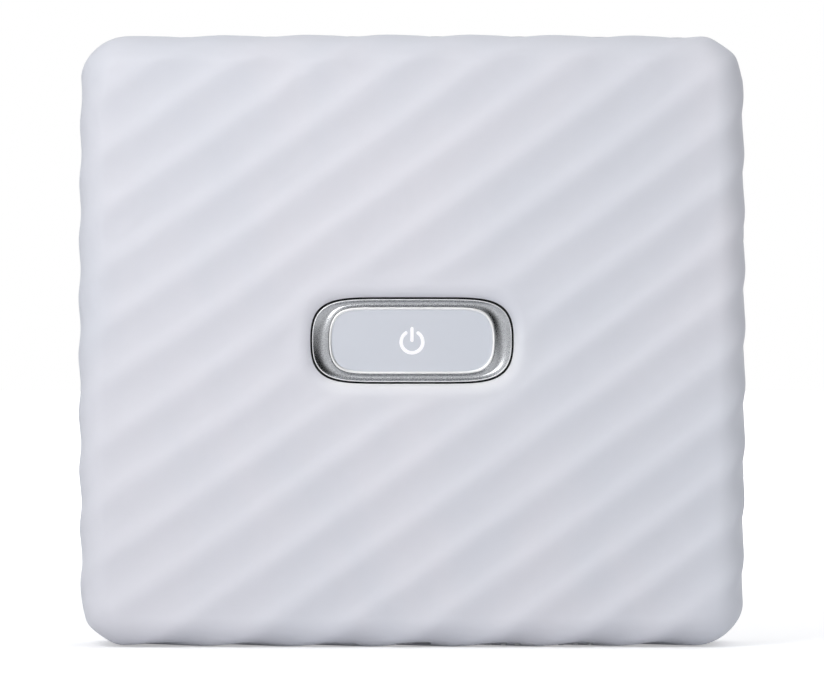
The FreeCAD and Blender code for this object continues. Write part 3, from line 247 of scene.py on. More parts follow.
def loft(name, rings, strip_materials, materials, closed):
    """Join neighbouring loops of points by quads. A closed loft joins the last
    ring back to the first; an open one is capped at both ends."""
    n, count = len(rings[0]), len(rings)
    faces, indices = [], []
    for j in range(count if closed else count - 1):
        k = (j + 1) % count
        for i in range(n):
            i2 = (i + 1) % n
            faces.append((j * n + i, j * n + i2, k * n + i2, k * n + i))
        indices += [strip_materials[j]] * n
    if not closed:
        faces.append(tuple(reversed(range(n))))
        faces.append(tuple((count - 1) * n + i for i in range(n)))
        indices += [strip_materials[0], strip_materials[-1]]
    mesh = bpy.data.meshes.new(name)
    mesh.from_pydata((np.concatenate(rings, 0) * MM).tolist(), [], faces)
    mesh.update()
    for material in materials:
        mesh.materials.append(material)
    mesh.polygons.foreach_set("material_index", indices)
    bm = bmesh.new()
    bm.from_mesh(mesh)
    recalc_normals(bm)
    bm.to_mesh(mesh)
    bm.free()
    return link(bpy.data.objects.new(name, mesh))


def loft_sections(name, sections, materials, closed):
    """Loft (outline, y, material index) sections round the button's centre."""
    rings = [ring_at(xz, y, BEZEL.mid_z) for xz, y, _ in sections]
    return loft(name, rings, [index for _, _, index in sections], materials, closed)


def prism(bm, loop, axis, start, end):
    """A prism through a closed loop of (u, v) points, from start to end along an axis."""
    def place(u, v, w):
        return {"x": (w, u, v), "y": (u, w, v), "z": (u, v, w)}[axis]

    near, far = [
        [bm.verts.new(tuple(c * MM for c in place(u, v, w))) for u, v in loop]
        for w in (start, end)
    ]
    bm.faces.new(near)
    bm.faces.new(list(reversed(far)))
    for i in range(len(loop)):
        k = (i + 1) % len(loop)
        bm.faces.new([near[i], far[i], far[k], near[k]])


def rounded_loop(u0, u1, v0, v1, radius, steps=8):
    points = []
    corners = (
        (u1 - radius, v0 + radius, -90), (u1 - radius, v1 - radius, 0),
        (u0 + radius, v1 - radius, 90), (u0 + radius, v0 + radius, 180),
    )
    for u, v, start in corners:
        for i in range(steps + 1):
            angle = math.radians(start + 90.0 * i / steps)
            points.append((u + radius * math.cos(angle), v + radius * math.sin(angle)))
    return points


def circle_loop(u, v, radius, count=28):
    angles = [2 * math.pi * i / count for i in range(count)]
    return [(u + radius * math.cos(a), v + radius * math.sin(a)) for a in angles]


def assign(ob, body, node):
    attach(ob, body)
    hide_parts(node)


# --------------------------------------------------------------- node graphs
class Graph:
    """A small builder for shader nodes; values may be numbers, colours or sockets."""

    def __init__(self, tree):
        self.tree = tree
        tree.nodes.clear()

    def put(self, socket, value):
        if isinstance(value, bpy.types.NodeSocket):
            self.tree.links.new(value, socket)
        elif socket.type == "RGBA" and len(value) == 3:
            socket.default_value = (*value, 1.0)
        else:
            socket.default_value = value

    def new(self, kind, inputs=None, **properties):
        node = self.tree.nodes.new(kind)
        for key, value in properties.items():
            setattr(node, key, value)
        for key, value in (inputs or {}).items():
            self.put(node.inputs[key], value)
        return node

    def ramp(self, value, start, end, low=0.0, high=1.0):
        """A smooth, clamped step from low at start to high at end."""
        return self.new("ShaderNodeMapRange", {
            "Value": value, "From Min": start, "From Max": end,
            "To Min": low, "To Max": high,
        }, clamp=True, interpolation_type="SMOOTHSTEP").outputs[0]

    def xyz(self, vector):
        return self.new("ShaderNodeSeparateXYZ", {0: vector}).outputs


class Shader(Graph):
    """A material round a Principled shader, in object coordinates (metres)."""

    def __init__(self, name):
        self.material = bpy.data.materials.new(name)
        self.material.use_nodes = True
        super().__init__(self.material.node_tree)
        output = self.new("ShaderNodeOutputMaterial")
        self.bsdf = self.new("ShaderNodeBsdfPrincipled")
        self.put(output.inputs[0], self.bsdf.outputs[0])
        self.coords = self.new("ShaderNodeTexCoord").outputs["Object"]
        MATERIALS[name] = self.material

    def noise(self, scale, detail=3.0, rough=0.55, stretch=None, warp=0.0):
        vector = self.coords
        if stretch:
            mapping = self.new("ShaderNodeMapping", {"Vector": vector, "Scale": stretch})
            vector = mapping.outputs[0]
        return self.new("ShaderNodeTexNoise", {
            "Vector": vector, "Scale": scale, "Detail": detail,
            "Roughness": rough, "Distortion": warp,
        }).outputs["Fac"]

    def mix(self, factor, a, b):
        inputs = {0: factor, 6: a, 7: b}
        return self.new("ShaderNodeMix", inputs, data_type="RGBA").outputs[2]

    def math(self, operation, a, b=None):
        inputs = {0: a} if b is None else {0: a, 1: b}
        return self.new("ShaderNodeMath", inputs, operation=operation).outputs[0]

    def beyond(self, coordinate, half):
        """How far a coordinate lies outside plus or minus half."""
        excess = self.math("SUBTRACT", self.math("ABSOLUTE", coordinate), half)
        return self.math("MAXIMUM", excess, 0.0)

    def length(self, a, b):
        squares = [self.math("MULTIPLY", side, side) for side in (a, b)]
        return self.math("SQRT", self.math("ADD", *squares))

    def falloff(self, distance, reach, gain):
        """gain * exp(-distance / reach)"""
        power = self.math("MULTIPLY", distance, -1.0 / reach)
        return self.math("MULTIPLY", self.math("EXPONENT", power), gain)

    def bump(self, height, distance, normal=None):
        inputs = {"Distance": distance, "Height": height}
        if normal is not None:
            inputs["Normal"] = normal
        return self.new("ShaderNodeBump", inputs).outputs[0]

    def edge(self, radius):
        """A mask that is 1 along sharp edges, and the bevelled normal."""
        bevel = self.new("ShaderNodeBevel", {"Radius": radius}, samples=4).outputs[0]
        normal = self.new("ShaderNodeNewGeometry").outputs["Normal"]
        dot = self.new("ShaderNodeVectorMath", {0: bevel, 1: normal}, operation="DOT_PRODUCT")
        turned = self.math("SUBTRACT", 1.0, dot.outputs["Value"])
        return self.ramp(turned, start=0.0, end=0.3), bevel

    def finish(self, inputs):
        for key, value in inputs.items():
            self.put(self.bsdf.inputs[key], value)


# ----------------------------------------------------------------- materials
MATERIALS = {}


def tint(colour, gain, lift=0.0):
    return tuple(min(1, c * gain + lift) for c in colour)


def plastic(name, colour, rough=0.45, variation=0.05, grain=4500.0, grain_depth=0.000012,
            wear=0.25, glow=None):
    """Mottled, fine-grained plastic with paler worn edges.
    glow: (colour, strength) of emission."""
    m = Shader(name)
    broad = m.noise(38.0, detail=4.0)
    fine = m.noise(grain, detail=2.0, rough=0.6)
    mottle = m.noise(600.0, detail=4.0, rough=0.6)
    dark = tint(colour, 1 - variation)
    base = m.mix(m.ramp(broad, start=0.35, end=0.65), dark, tint(colour, 1 + variation))
    base = m.mix(m.ramp(mottle, start=0.45, end=0.8, high=0.25), base, dark)
    edge, bevel = m.edge(radius=0.00015)
    if wear:
        worn = m.math("MULTIPLY", edge, m.ramp(mottle, start=0.4, end=0.65, high=wear))
        base = m.mix(worn, base, tint(colour, 1.25, lift=0.04))
    spread = m.ramp(mottle, start=0.3, end=0.7, low=rough - 0.05, high=rough + 0.05)
    m.finish({
        "Base Color": base,
        "Roughness": m.math("ADD", spread, m.math("MULTIPLY", edge, -0.08)),
        "Normal": m.bump(fine, grain_depth, bevel),
        "Coat Roughness": 0.25,
    })
    if glow:
        m.finish({"Emission Color": glow[0], "Emission Strength": glow[1]})


def metal(name, colour, rough=0.3, brush=(1.0, 60.0, 60.0), scale=900.0, depth=0.000004,
          variation=0.12, scratch=0.3, rough_spread=1.0):
    """Brushed metal with a few scratches; brush stretches the noise along the
    axes with the smallest numbers."""
    m = Shader(name)
    lines = m.noise(scale, detail=5.0, rough=0.65, stretch=brush)
    broad = m.noise(60.0)
    scratches = m.ramp(
        m.noise(320.0, detail=2.0, rough=0.5, stretch=(3.0, 40.0, 9.0), warp=0.6),
        start=0.68, end=0.74)
    base = m.mix(lines, tint(colour, 1 - variation), colour)
    base = m.mix(m.ramp(broad, start=0.3, end=0.7, high=0.35), base, tint(colour, 0.9))
    edge, bevel = m.edge(radius=0.0001)
    base = m.mix(m.math("MULTIPLY", edge, 0.6), base, tint(colour, 1.3))
    spread = m.ramp(lines, start=0.25, end=0.75,
                    low=rough - 0.07 * rough_spread, high=rough + 0.09 * rough_spread)
    polished = m.math("MULTIPLY", scratches, -0.1 * scratch)
    height = m.math("ADD", lines, m.math("MULTIPLY", scratches, scratch))
    m.finish({
        "Base Color": base,
        "Metallic": 1.0,
        "Roughness": m.math("ADD", spread, polished),
        "Normal": m.bump(height, depth, bevel),
    })


def pearl(name, colour, cool, rough=0.5):
    """Pearl-white satin moulding: a cool shift with viewing angle, a faint mica
    sparkle, moulding flow and light wear on the edges."""
    m = Shader(name)
    facing = m.new("ShaderNodeLayerWeight", {"Blend": 0.35}).outputs["Facing"]
    flow = m.noise(22.0, rough=0.5, stretch=(1.0, 1.0, 0.6), warp=0.8)
    mottle = m.noise(420.0, rough=0.6)
    base = m.mix(m.ramp(flow, start=0.3, end=0.7, high=0.55), colour, cool)
    base = m.mix(m.math("MULTIPLY", facing, 0.5), base, cool)
    cells = m.new("ShaderNodeTexVoronoi", {"Vector": m.coords, "Scale": 9000.0})
    sparkle = m.ramp(cells.outputs["Distance"], start=0.0, end=0.16, low=1.0, high=0.0)
    base = m.mix(m.math("MULTIPLY", sparkle, 0.05), base, (0.95, 0.95, 1.0))
    edge, bevel = m.edge(radius=0.0002)
    worn = m.math("MULTIPLY", edge, m.ramp(mottle, start=0.4, end=0.62, high=0.35))
    base = m.mix(worn, base, (0.86, 0.86, 0.89))
    spread = m.ramp(mottle, start=0.3, end=0.7, low=rough - 0.03, high=rough + 0.04)
    roughness = m.math("ADD", spread, m.math("MULTIPLY", worn, -0.12))
    fine = m.noise(5200.0, detail=2.0, rough=0.6)
    coarse = m.math("MULTIPLY", m.noise(900.0, detail=2.0), 0.6)
    m.finish({
        "Base Color": base,
        "Roughness": roughness,
        "Normal": m.bump(m.math("ADD", fine, coarse), 0.000006, bevel),
        "Specular IOR Level": 0.42,
        "Coat Weight": 0.08,
        "Coat Roughness": 0.35,
    })
    return m


def glassy(name, colour, rough=0.08, transmission=0.55):
    """Clear or smoked plastic with fine scratches."""
    m = Shader(name)
    mottle = m.noise(300.0)
    scratches = m.ramp(
        m.noise(260.0, detail=2.0, rough=0.5, stretch=(2.0, 30.0, 7.0), warp=0.7),
        start=0.69, end=0.73)
    base = m.mix(m.ramp(mottle, start=0.3, end=0.7), colour, tint(colour, 0.92))
    spread = m.ramp(mottle, start=0.3, end=0.7, low=rough, high=rough + 0.05)
    m.finish({
        "Base Color": base,
        "Roughness": m.math("ADD", spread, m.math("MULTIPLY", scratches, 0.12)),
        "Transmission Weight": transmission,
        "IOR": 1.5,
        "Normal": m.bump(mottle, 0.000003),
    })


def add_painted_lip_highlight(m):
    """Paint a highlight into the face's colour round the aperture: paler to the right of and
    below the button, in place of light on its rounded lip.
    """
    base = m.bsdf.inputs["Base Color"].links[0].from_socket
    x, y, z = m.xyz(m.coords)
    z = m.math("SUBTRACT", z, BEZEL.mid_z * MM)
    out_x = m.beyond(x, (APERTURE_HALF_X - APERTURE_CORNER) * MM)
    out_z = m.beyond(z, (APERTURE_HALF_Z - APERTURE_CORNER) * MM)
    reach = m.length(out_x, out_z)
    past = m.math("SUBTRACT", reach, APERTURE_CORNER * MM)
    distance = m.math("MAXIMUM", past, 0.0)
    right = m.math("MULTIPLY", m.math("MULTIPLY", m.math("SIGN", x), out_x), 0.55)
    up = m.math("MULTIPLY", m.math("SIGN", z), out_z)
    # the small offset avoids dividing by zero in the middle
    side = m.math("DIVIDE", m.math("SUBTRACT", right, up), m.math("ADD", reach, 0.000001))
    # painted highlight: a wide and a narrow falloff from the aperture, on its right and lower
    # sides
    wide = m.falloff(distance, reach=0.0035, gain=0.30)
    narrow = m.falloff(distance, reach=0.0008, gain=0.66)
    painted_highlight = m.math("MULTIPLY", m.math("ADD", wide, narrow), m.ramp(side, start=0.0, end=0.9))
    # only near the front face
    front = m.ramp(y, start=(CASE.y0 + 5.0) * MM, end=(CASE.y0 + 9.0) * MM, low=1.0, high=0.0)
    painted_highlight = m.math("MULTIPLY", painted_highlight, front)
    m.finish({"Base Color": m.mix(painted_highlight, base, (0.985, 0.985, 1.0))})


EVEN = (1.0, 1.0, 1.0)      # no brush direction

front_pearl = pearl("pearl_case", (0.735, 0.733, 0.790), cool=(0.655, 0.685, 0.752))
# paint a highlight round the button's aperture into the front case's colour
add_painted_lip_highlight(front_pearl)
pearl("pearl_case_back", (0.725, 0.725, 0.780), cool=(0.650, 0.678, 0.745), rough=0.52)
pearl("button_pearl", (0.664, 0.685, 0.745), cool=(0.620, 0.658, 0.726), rough=0.34)
plastic("case_inside", (0.016, 0.016, 0.018), rough=0.55)
plastic("black_plastic", (0.022, 0.022, 0.024), rough=0.5, grain=2600.0, grain_depth=0.00003)
metal("satin_silver", (0.55, 0.56, 0.58), rough=0.27, brush=EVEN, scale=3800.0,
      depth=0.000001, variation=0.05, scratch=0.1, rough_spread=0.3)
metal("polished_rim", (0.97, 0.97, 0.98), rough=0.42, brush=EVEN, scale=2500.0,
      depth=0.000002, variation=0.03, scratch=0.05)
metal("bright_bead", (1.0, 1.0, 1.0), rough=0.5, brush=EVEN, scale=2500.0,
      depth=0.000001, variation=0.01, scratch=0.0)
# the print's emission is a painted glow that makes it brighter than the lamps alone light it
plastic("white_print", (0.98, 0.97, 1.0), rough=0.4, variation=0.01, grain=5000.0,
        grain_depth=0.000004, wear=0.0, glow=((1.0, 0.98, 1.0), 0.12))
metal("steel", (0.55, 0.55, 0.56), rough=0.32)
metal("spring_steel", (0.46, 0.46, 0.48), rough=0.28, brush=(1.0, 1.0, 6.0))
plastic("gear_plastic", (0.78, 0.75, 0.66), rough=0.38, variation=0.03, grain=3000.0,
        grain_depth=0.000006, wear=0.15)
plastic("seal_foam", (0.018, 0.018, 0.020), rough=0.92, variation=0.3, grain=3500.0,
        grain_depth=0.00012, wear=0.0)
plastic("yellow_mark", (0.86, 0.60, 0.04), variation=0.03)
metal("roller_steel", (0.42, 0.42, 0.44), rough=0.24, brush=(80.0, 1.0, 1.0), scale=700.0,
      depth=0.000003)
glassy("clear_lens", (0.86, 0.91, 0.94))
glassy("smoke_window", (0.10, 0.075, 0.05), rough=0.06, transmission=0.35)
plastic("green_board", (0.012, 0.085, 0.042), rough=0.32, variation=0.12, grain=900.0,
        grain_depth=0.00001, wear=0.0)
plastic("chip_black", (0.028, 0.028, 0.030), rough=0.6, variation=0.15, grain=3500.0,
        grain_depth=0.00002)
plastic("flex_amber", (0.42, 0.17, 0.02), rough=0.3, variation=0.08)
metal("battery_foil", (0.62, 0.63, 0.65), rough=0.38, brush=EVEN, scale=400.0, depth=0.00003)
plastic("tape", (0.72, 0.72, 0.68), rough=0.8, grain=1800.0, grain_depth=0.00003, wear=0.0)
plastic("red_lead", (0.42, 0.02, 0.015), rough=0.4)
metal("motor_can", (0.60, 0.60, 0.61), rough=0.26, brush=(60.0, 1.0, 1.0))
metal("nickel", (0.68, 0.67, 0.64), rough=0.2)
glassy("light_pipe", (0.88, 0.90, 0.92), rough=0.3, transmission=0.6)

# CAD pieces take the material named after their slot, but the remaining case
# pieces take the back's pearl
for subpart in frame["record"]["subparts"]:
    slot = subpart["material_slot"]
    mesh = frame["nodes"][subpart["node"]].data
    mesh.materials.clear()
    mesh.materials.append(MATERIALS["pearl_case_back" if slot == "pearl_case" else slot])
    mesh.polygons.foreach_set("material_index", [0] * len(mesh.polygons))


# --------------------------------------------------------------- front shell
# points; kind of surface; (x, z) for the ridge pattern, as if the surface were
# unrolled flat; distance travelled from the flat face; sink towards the button
Ring = namedtuple("Ring", "points kind unrolled travel dish")


def dip(distance):
    return DIP_DEPTH * max(0.0, 1.0 - distance / DIP_WIDTH) ** 2


def shell_rings():
    """The shell's section as rings: out of the aperture, over the face and edge,
    back to the parting plane and forward again along the inside."""
    outline, normal = rounded_outline(
        CASE.half_x, CASE.half_z, CASE_CORNER, 1040)
    angles = outline_angles(outline)
    flat = outline - normal * ROLL_INSET
    rings = []

    def add(xz, y, kind, unrolled=None, travel=0.0, dish=0.0):
        points = ring_at(xz, y, CASE.mid_z)
        rings.append(Ring(points, kind, xz if unrolled is None else unrolled, travel, dish))

    def aperture(margin):
        return superellipse(
            APERTURE_HALF_X + margin, APERTURE_HALF_Z + margin, RING_POWERS, angles)

    # aperture wall from behind, then its rounded lip
    for y in (INNER_FACE_Y, -14.7, -14.95, -15.2):
        add(aperture(0.0), y, "inner")
    for turn in np.radians((10, 30, 50, 70, 82)):
        y = CASE.y0 + dip(LIP_RADIUS) + LIP_RADIUS - LIP_RADIUS * math.sin(turn)
        add(aperture(LIP_RADIUS * (1 - math.cos(turn))), y, "lip")

    # front face: close rings over the dip, then an even blend to the flat's edge
    margins = (0.2, 0.35, 0.5, 0.7, 0.9, 1.1, 1.3, 1.5, 1.7, 1.9, 2.1, 2.3, 2.5, 2.7, 2.9,
               3.2, 3.6, 4.2)
    for margin in margins:
        add(aperture(margin), CASE.y0, "face", dish=dip(margin))
    start = aperture(margins[-1])
    steps = 98
    for j in range(1, steps + 1):
        t = j / steps
        add(start * (1 - t) + flat * t, CASE.y0, "face")

    # rolled edge
    steps = 18
    travel, previous = 0.0, (ROLL_INSET, CASE.y0)
    for j in range(1, steps + 1):
        turn = math.pi / 2 * j / steps
        inset = ROLL_INSET * (1 - math.sin(turn))
        y = CASE.y0 + ROLL_DEPTH * (1 - math.cos(turn))
        travel += math.hypot(inset - previous[0], y - previous[1])
        previous = (inset, y)
        add(outline - normal * inset, y, "roll", flat + normal * travel, travel)

    # side wall
    side_y = CASE.y0 + ROLL_DEPTH
    for y in np.linspace(side_y, CASE.y1 - 0.28, (26) + 1)[1:]:
        along = travel + y - side_y
        add(outline, y, "side", flat + normal * along, along)

    # rim, locating step and inner side wall: inset, y, kind
    for inset, y, kind in (
        (0.05, CASE.y1 - 0.1, "rim"),
        (0.18, CASE.y1, "rim"),
        (1.28, CASE.y1, "rim"),
        (1.30, CASE.y1 - 1.7, "inner"),
        (WALL, CASE.y1 - 1.7, "inner"),
        (WALL, CASE.y0 + ROLL_INSET, "inner"),
    ):
        add(outline - normal * inset, y, kind)

    # inner roll and inner face
    inner_roll = ROLL_INSET - WALL
    for turn in np.radians((20, 40, 60, 80, 90)):
        inset = WALL + inner_roll * (1 - math.cos(turn))
        y = CASE.y0 + ROLL_INSET - inner_roll * math.sin(turn)
        add(outline - normal * inset, y, "inner")
    for t in (0.33, 0.66):
        add(flat * (1 - t) + aperture(0.0) * t, INNER_FACE_Y, "inner")
    return rings


def outward_normals(points, face_ring):
    """Normals by central differences, turned so the face looks towards -Y."""
    across = np.zeros_like(points)
    across[1:-1] = points[2:] - points[:-2]
    across[0] = points[1] - points[0]
    across[-1] = points[-1] - points[-2]
    around = np.roll(points, -1, 1) - np.roll(points, 1, 1)
    normals = np.cross(around, across)
    normals /= np.maximum(np.linalg.norm(normals, axis=2, keepdims=True), 1e-9)
    return -normals if normals[face_ring, 0, 1] > 0 else normals


def ridge_wave(x, z):
    """About 0 at a crest and -1 in a valley, drifting slightly over the face;
    x and z are measured from the face's centre."""
    part_x, part_z = x / RIDGE_SPAN_X, z / RIDGE_SPAN_Z
    # drift in degrees, linear and strongest towards the edges
    drift = 0.19 * x - 0.47 * z + 40.0 * part_x ** 4 + 18.0 * part_z ** 4
    phase = 2 * math.pi / RIDGE_PITCH * (RIDGE_DIR_X * x + RIDGE_DIR_Z * z)
    phase = phase + np.radians(RIDGE_PHASE + drift)
    crest = np.cos(phase) + RIDGE_CREST * np.cos(2 * phase)
    # deeper towards the right, shallower towards the top
    depth = 1.0 + 0.16 * np.clip(part_x, -1, 1) - 0.12 * np.clip(part_z, -1, 1)
    return (crest - 1.0 - RIDGE_CREST) / 2.0 * depth


def ridge_height(points, ring):
    """The ridges fade near the aperture, in the corners and down the sides."""
    x, z = points[:, 0], points[:, 2]
    from_aperture = rounded_distance(
        x, z - BEZEL.mid_z, APERTURE_HALF_X, APERTURE_HALF_Z, APERTURE_CORNER)
    near = smooth(0.0, 7.0, from_aperture)
    far = 1.0 - smooth(11.5, 26.0, ring.travel)
    corner = smooth(CASE.half_x - 17, CASE.half_x - 3, np.abs(x))
    corner = corner * smooth(CASE.half_z - 17, CASE.half_z - 3, np.abs(z - CASE.mid_z))
    wave = ridge_wave(ring.unrolled[:, 0], ring.unrolled[:, 1])
    return RIDGE_HEIGHT * wave * near * far * (1.0 - 0.45 * corner)


def bow_sides(points):
    """Draw the corners in, so that each side is fullest at its middle; this
    fades out towards the parting plane."""
    x, z = points[..., 0], points[..., 2] - CASE.mid_z
    fade = 1.0 - smooth(-5.0, CASE.y1 - 0.3, points[..., 1])
    bow_x = 0.55
    bow_z = np.where(z > 0, 0.38, 0.30)
    reach_x = np.clip(np.abs(x) / (CASE.half_x - 4), 0, 1.0)
    reach_z = np.clip(np.abs(z) / (CASE.half_z - 4), 0, 1.0)
    points[..., 0] = x * (1.0 - fade * (bow_x / CASE.half_x) * reach_z ** 2.0)
    points[..., 2] = z * (1.0 - fade * (bow_z / CASE.half_z) * reach_x ** 2.0) + CASE.mid_z


def front_shell():
    rings = shell_rings()
    kinds = [ring.kind for ring in rings]
    points = np.array([ring.points for ring in rings])
    # the sixth face ring tells which way the normals point
    normals = outward_normals(points, kinds.index("face") + 5)
    for j, ring in enumerate(rings):
        if ring.kind not in ("face", "roll", "side"):
            continue
        height = ridge_height(points[j], ring)
        if ring.kind == "face":
            points[j, :, 1] += ring.dish - height
        else:
            points[j] += normals[j] * height[:, None]
    bow_sides(points)
    inside = [int(a == b == "inner") for a, b in zip(kinds, kinds[1:] + kinds[:1])]
    materials = [MATERIALS["pearl_case"], MATERIALS["case_inside"]]
    return loft("front_cover", points, inside, materials, closed=True)


def volume(mesh):
    bm = bmesh.new()
    bm.from_mesh(mesh)
    result = abs(bm.calc_volume())
    bm.free()
    return result


def cut_out(ob, fill, weld=False):
    """Cut a closed tool out of the mesh, or weld it on. A result whose volume is
    wrong is dropped and made again with the tool moved by a hair; if every
    place fails, the mesh stays as it was."""
    before = volume(ob.data)
    low, high = (1.0, 1.1) if weld else (0.90, 1.0001)
    for shift in (0.0, 0.013, -0.017, 0.029, -0.037):
        bm = bmesh.new()
        fill(bm)
        move = (shift * MM, shift * 0.7 * MM, shift * 0.4 * MM)
        bmesh.ops.translate(bm, verts=bm.verts[:], vec=move)
        recalc_normals(bm)
        material = MATERIALS["case_inside" if weld else "pearl_case"]
        cutter = mesh_object("cutter", bm, material)
        modifier = ob.modifiers.new("cut", "BOOLEAN")
        modifier.operation = "UNION" if weld else "DIFFERENCE"
        modifier.solver = "EXACT"
        modifier.object = cutter
        depsgraph = bpy.context.evaluated_depsgraph_get()
        done = bpy.data.meshes.new_from_object(ob.evaluated_get(depsgraph))
        ob.modifiers.clear()
        bpy.data.objects.remove(cutter)
        if low * before < volume(done) < high * before:
            old = ob.data
            ob.data = done
            done.name = old.name
            bpy.data.meshes.remove(old)
            return
        bpy.data.meshes.remove(done)


def bosses(bm):
    for x, z in CORNER_BOSSES:
        prism(bm, circle_loop(x, z, 2.0, 40), "y", CASE.y1 - 0.06, INNER_FACE_Y - 0.21)
    for x, z in CHASSIS_BOSSES:
        prism(bm, circle_loop(x, z, 2.2, 40), "y", -8.05, INNER_FACE_Y - 0.23)


def pilot_holes(bm):
    for x, z in CORNER_BOSSES:
        loop = circle_loop(x, z, PILOT_RADIUS, 24)
        prism(bm, loop, "y", CASE.y1 + 1.0, CASE.y1 - 8.3)
    for x, z in CHASSIS_BOSSES:
        prism(bm, circle_loop(x, z, PILOT_RADIUS, 24), "y", -7.0, -12.55)


def claw_notch(bm):
    """Lets the film claw pass."""
    prism(bm, rounded_loop(-62.45, -60.0, 4.4, 9.4, 0.2), "y", 0.9, -5.2)


def film_slot(bm):
    y = FILM_EXIT.mid_y
    prism(bm, rounded_loop(-57.3, 57.3, y - 2.0, y + 2.0, 1.0), "z", 122.0, 130.0)


def side_button_hole(bm):
    y, z = SIDE_BUTTON.mid_y, SIDE_BUTTON.mid_z
    loop = rounded_loop(y - 2.5, y + 2.5, z - 6.2, z + 6.2, 2.49, 12)
    prism(bm, loop, "x", 65.0, 72.0)


def bottom_recess(bm):
    """A shallow recess in the underside, in line with the USB port."""
    x = USB.mid_x
    prism(bm, rounded_loop(x - 3.6, x + 3.6, -15.0, -6.4, 0.5), "z", -2.0, 0.8)


def usb_hole(bm):
    x, y = USB.mid_x, USB.mid_y
    prism(bm, rounded_loop(x - 3.58, x + 3.58, y - 1.3, y + 1.3, 0.5), "z", -1.0, 4.0)


def counter_holes(bm):
    for i in range(10):
        loop = circle_loop(LIGHT_PIPES.x0 + 0.95 + 3.0 * i, USB.mid_y, 0.65)
        prism(bm, loop, "z", -1.0, 4.0)


def reset_hole(bm):
    prism(bm, circle_loop(RESET.mid_x, USB.mid_y, 0.7), "z", -1.0, 4.0)


shell = front_shell()
cut_out(shell, bosses, weld=True)
for cut in (pilot_holes, claw_notch, film_slot, side_button_hole, bottom_recess, usb_hole,
            counter_holes, reset_hole):
    cut_out(shell, cut)
sharpen(shell.data, 32.0)
assign(shell, "root", "front_shell")


# -------------------------------------------------------------------- button
def button_ring():
    """Satin ring with a polished outer edge and a trough towards the plate."""
    outline, _ = rounded_outline(RING_HALF_X, RING_HALF_Z, RING_CORNER, 420)
    angles = outline_angles(outline)
    satin, polished = 0, 1
    front = BEZEL.y0

    def outer(inset):
        return superellipse(RING_HALF_X - inset, RING_HALF_Z - inset, RING_POWERS, angles)

    def inner(gap):
        return superellipse(
            PLATE.half_x + 0.06 + gap, PLATE.half_z + 0.06 + gap, PLATE_POWERS, angles)

    sections = [(outer(0.0), y, satin) for y in (BEZEL.y1, front + 0.5, front + 0.17)]
    edge = 0.13
    for turn in np.radians((20, 45, 70, 90)):
        y = front + 0.14 - edge * math.sin(turn)
        sections.append((outer(edge * (1 - math.cos(turn))), y, polished))
    sections.append((outer(0.20), front + 0.02, satin))
    start, end = outer(0.22), inner(0.05)
    steps = 22
    for j in range(steps + 1):
        t = j / steps
        depth = 0.05 + 0.28 * t + 4 * RING_TROUGH * t * (1 - t)
        sections.append((start * (1 - t) + end * t, front + depth, satin))
    sections += [(inner(0.0), y, satin) for y in (front + 0.42, BEZEL.y1)]
    materials = [MATERIALS["satin_silver"], MATERIALS["polished_rim"]]
    ob = loft_sections("button_ring", sections, materials, closed=True)
    sharpen(ob.data, 50)
    return ob


def button_plate():
    """The centre plate with the bright bead formed round its edge."""
    outline, _ = rounded_outline(
        PLATE.half_x, PLATE.half_z, PLATE_CORNER, 380)
    angles = outline_angles(outline)
    face, bead = 0, 1
    front = PLATE.y0

    def edge(inset):
        return superellipse(PLATE.half_x - inset, PLATE.half_z - inset, PLATE_POWERS, angles)

    sections = [(edge(0.0), PLATE.y1, bead), (edge(0.0), front - 0.05, bead)]
    bead_half_width, bead_height = 0.26, 0.20
    for turn in np.radians((10, 30, 50, 70, 90, 110, 130, 150)):
        y = front - 0.05 - bead_height * math.sin(turn)
        sections.append((edge(bead_half_width * (1 - math.cos(turn))), y, bead))
    rim = edge(0.56)
    sections.append((rim, front - 0.02, face))
    sections += [(rim * (1 - t), front, face) for t in (0.02, 0.2, 0.4, 0.6, 0.8, 0.95)]
    materials = [MATERIALS["button_pearl"], MATERIALS["bright_bead"]]
    ob = loft_sections("button_centre_plate", sections, materials, closed=False)
    sharpen(ob.data, 60)
    return ob


def add_stroke(bm, path, half_width, y_front, y_back):
    """A raised stroke along a path of (x, z) points, semicircular at both ends."""
    path = [Vector(point) for point in path]

    def square_to(direction):
        return Vector((-direction.y, direction.x))

    def round_cap(tip, before):
        direction = (tip - before).normalized()
        return [
            tip + half_width * (math.cos(t) * square_to(direction) + math.sin(t) * direction)
            for t in np.linspace(0, math.pi, 11)[1:-1]
        ]

    left, right = [], []
    for i, point in enumerate(path):
        ahead, behind = path[min(i + 1, len(path) - 1)], path[max(i - 1, 0)]
        across = square_to((ahead - behind).normalized())
        left.append(point + across * half_width)
        right.append(point - across * half_width)
    loop = left + round_cap(path[-1], path[-2]) + right[::-1] + round_cap(path[0], path[1])
    prism(bm, [(p.x, p.y) for p in loop], "y", y_front, y_back)


def power_mark():
    """An open ring and a bar."""
    mid_z = BEZEL.mid_z - 0.3
    radius = 2.25
    arc = [
        (radius * math.sin(angle), mid_z + radius * math.cos(angle))
        for angle in np.radians(np.linspace(34, 326, 60))
    ]
    bar = [(0.0, mid_z + rise) for rise in (0.35, 1.5, 2.75)]
    bm = bmesh.new()
    for path in (arc, bar):
        add_stroke(bm, path, half_width=0.36, y_front=PLATE.y0 - 0.03, y_back=PLATE.y0 + 0.3)
    recalc_normals(bm)
    bmesh.ops.triangulate(bm, faces=[face for face in bm.faces if len(face.verts) > 4])
    return mesh_object("power_mark", bm, MATERIALS["white_print"])


assign(button_ring(), "power_button", "button_bezel")
assign(button_plate(), "power_button", "button_plate")
assign(power_mark(), "power_button", "power_symbol")


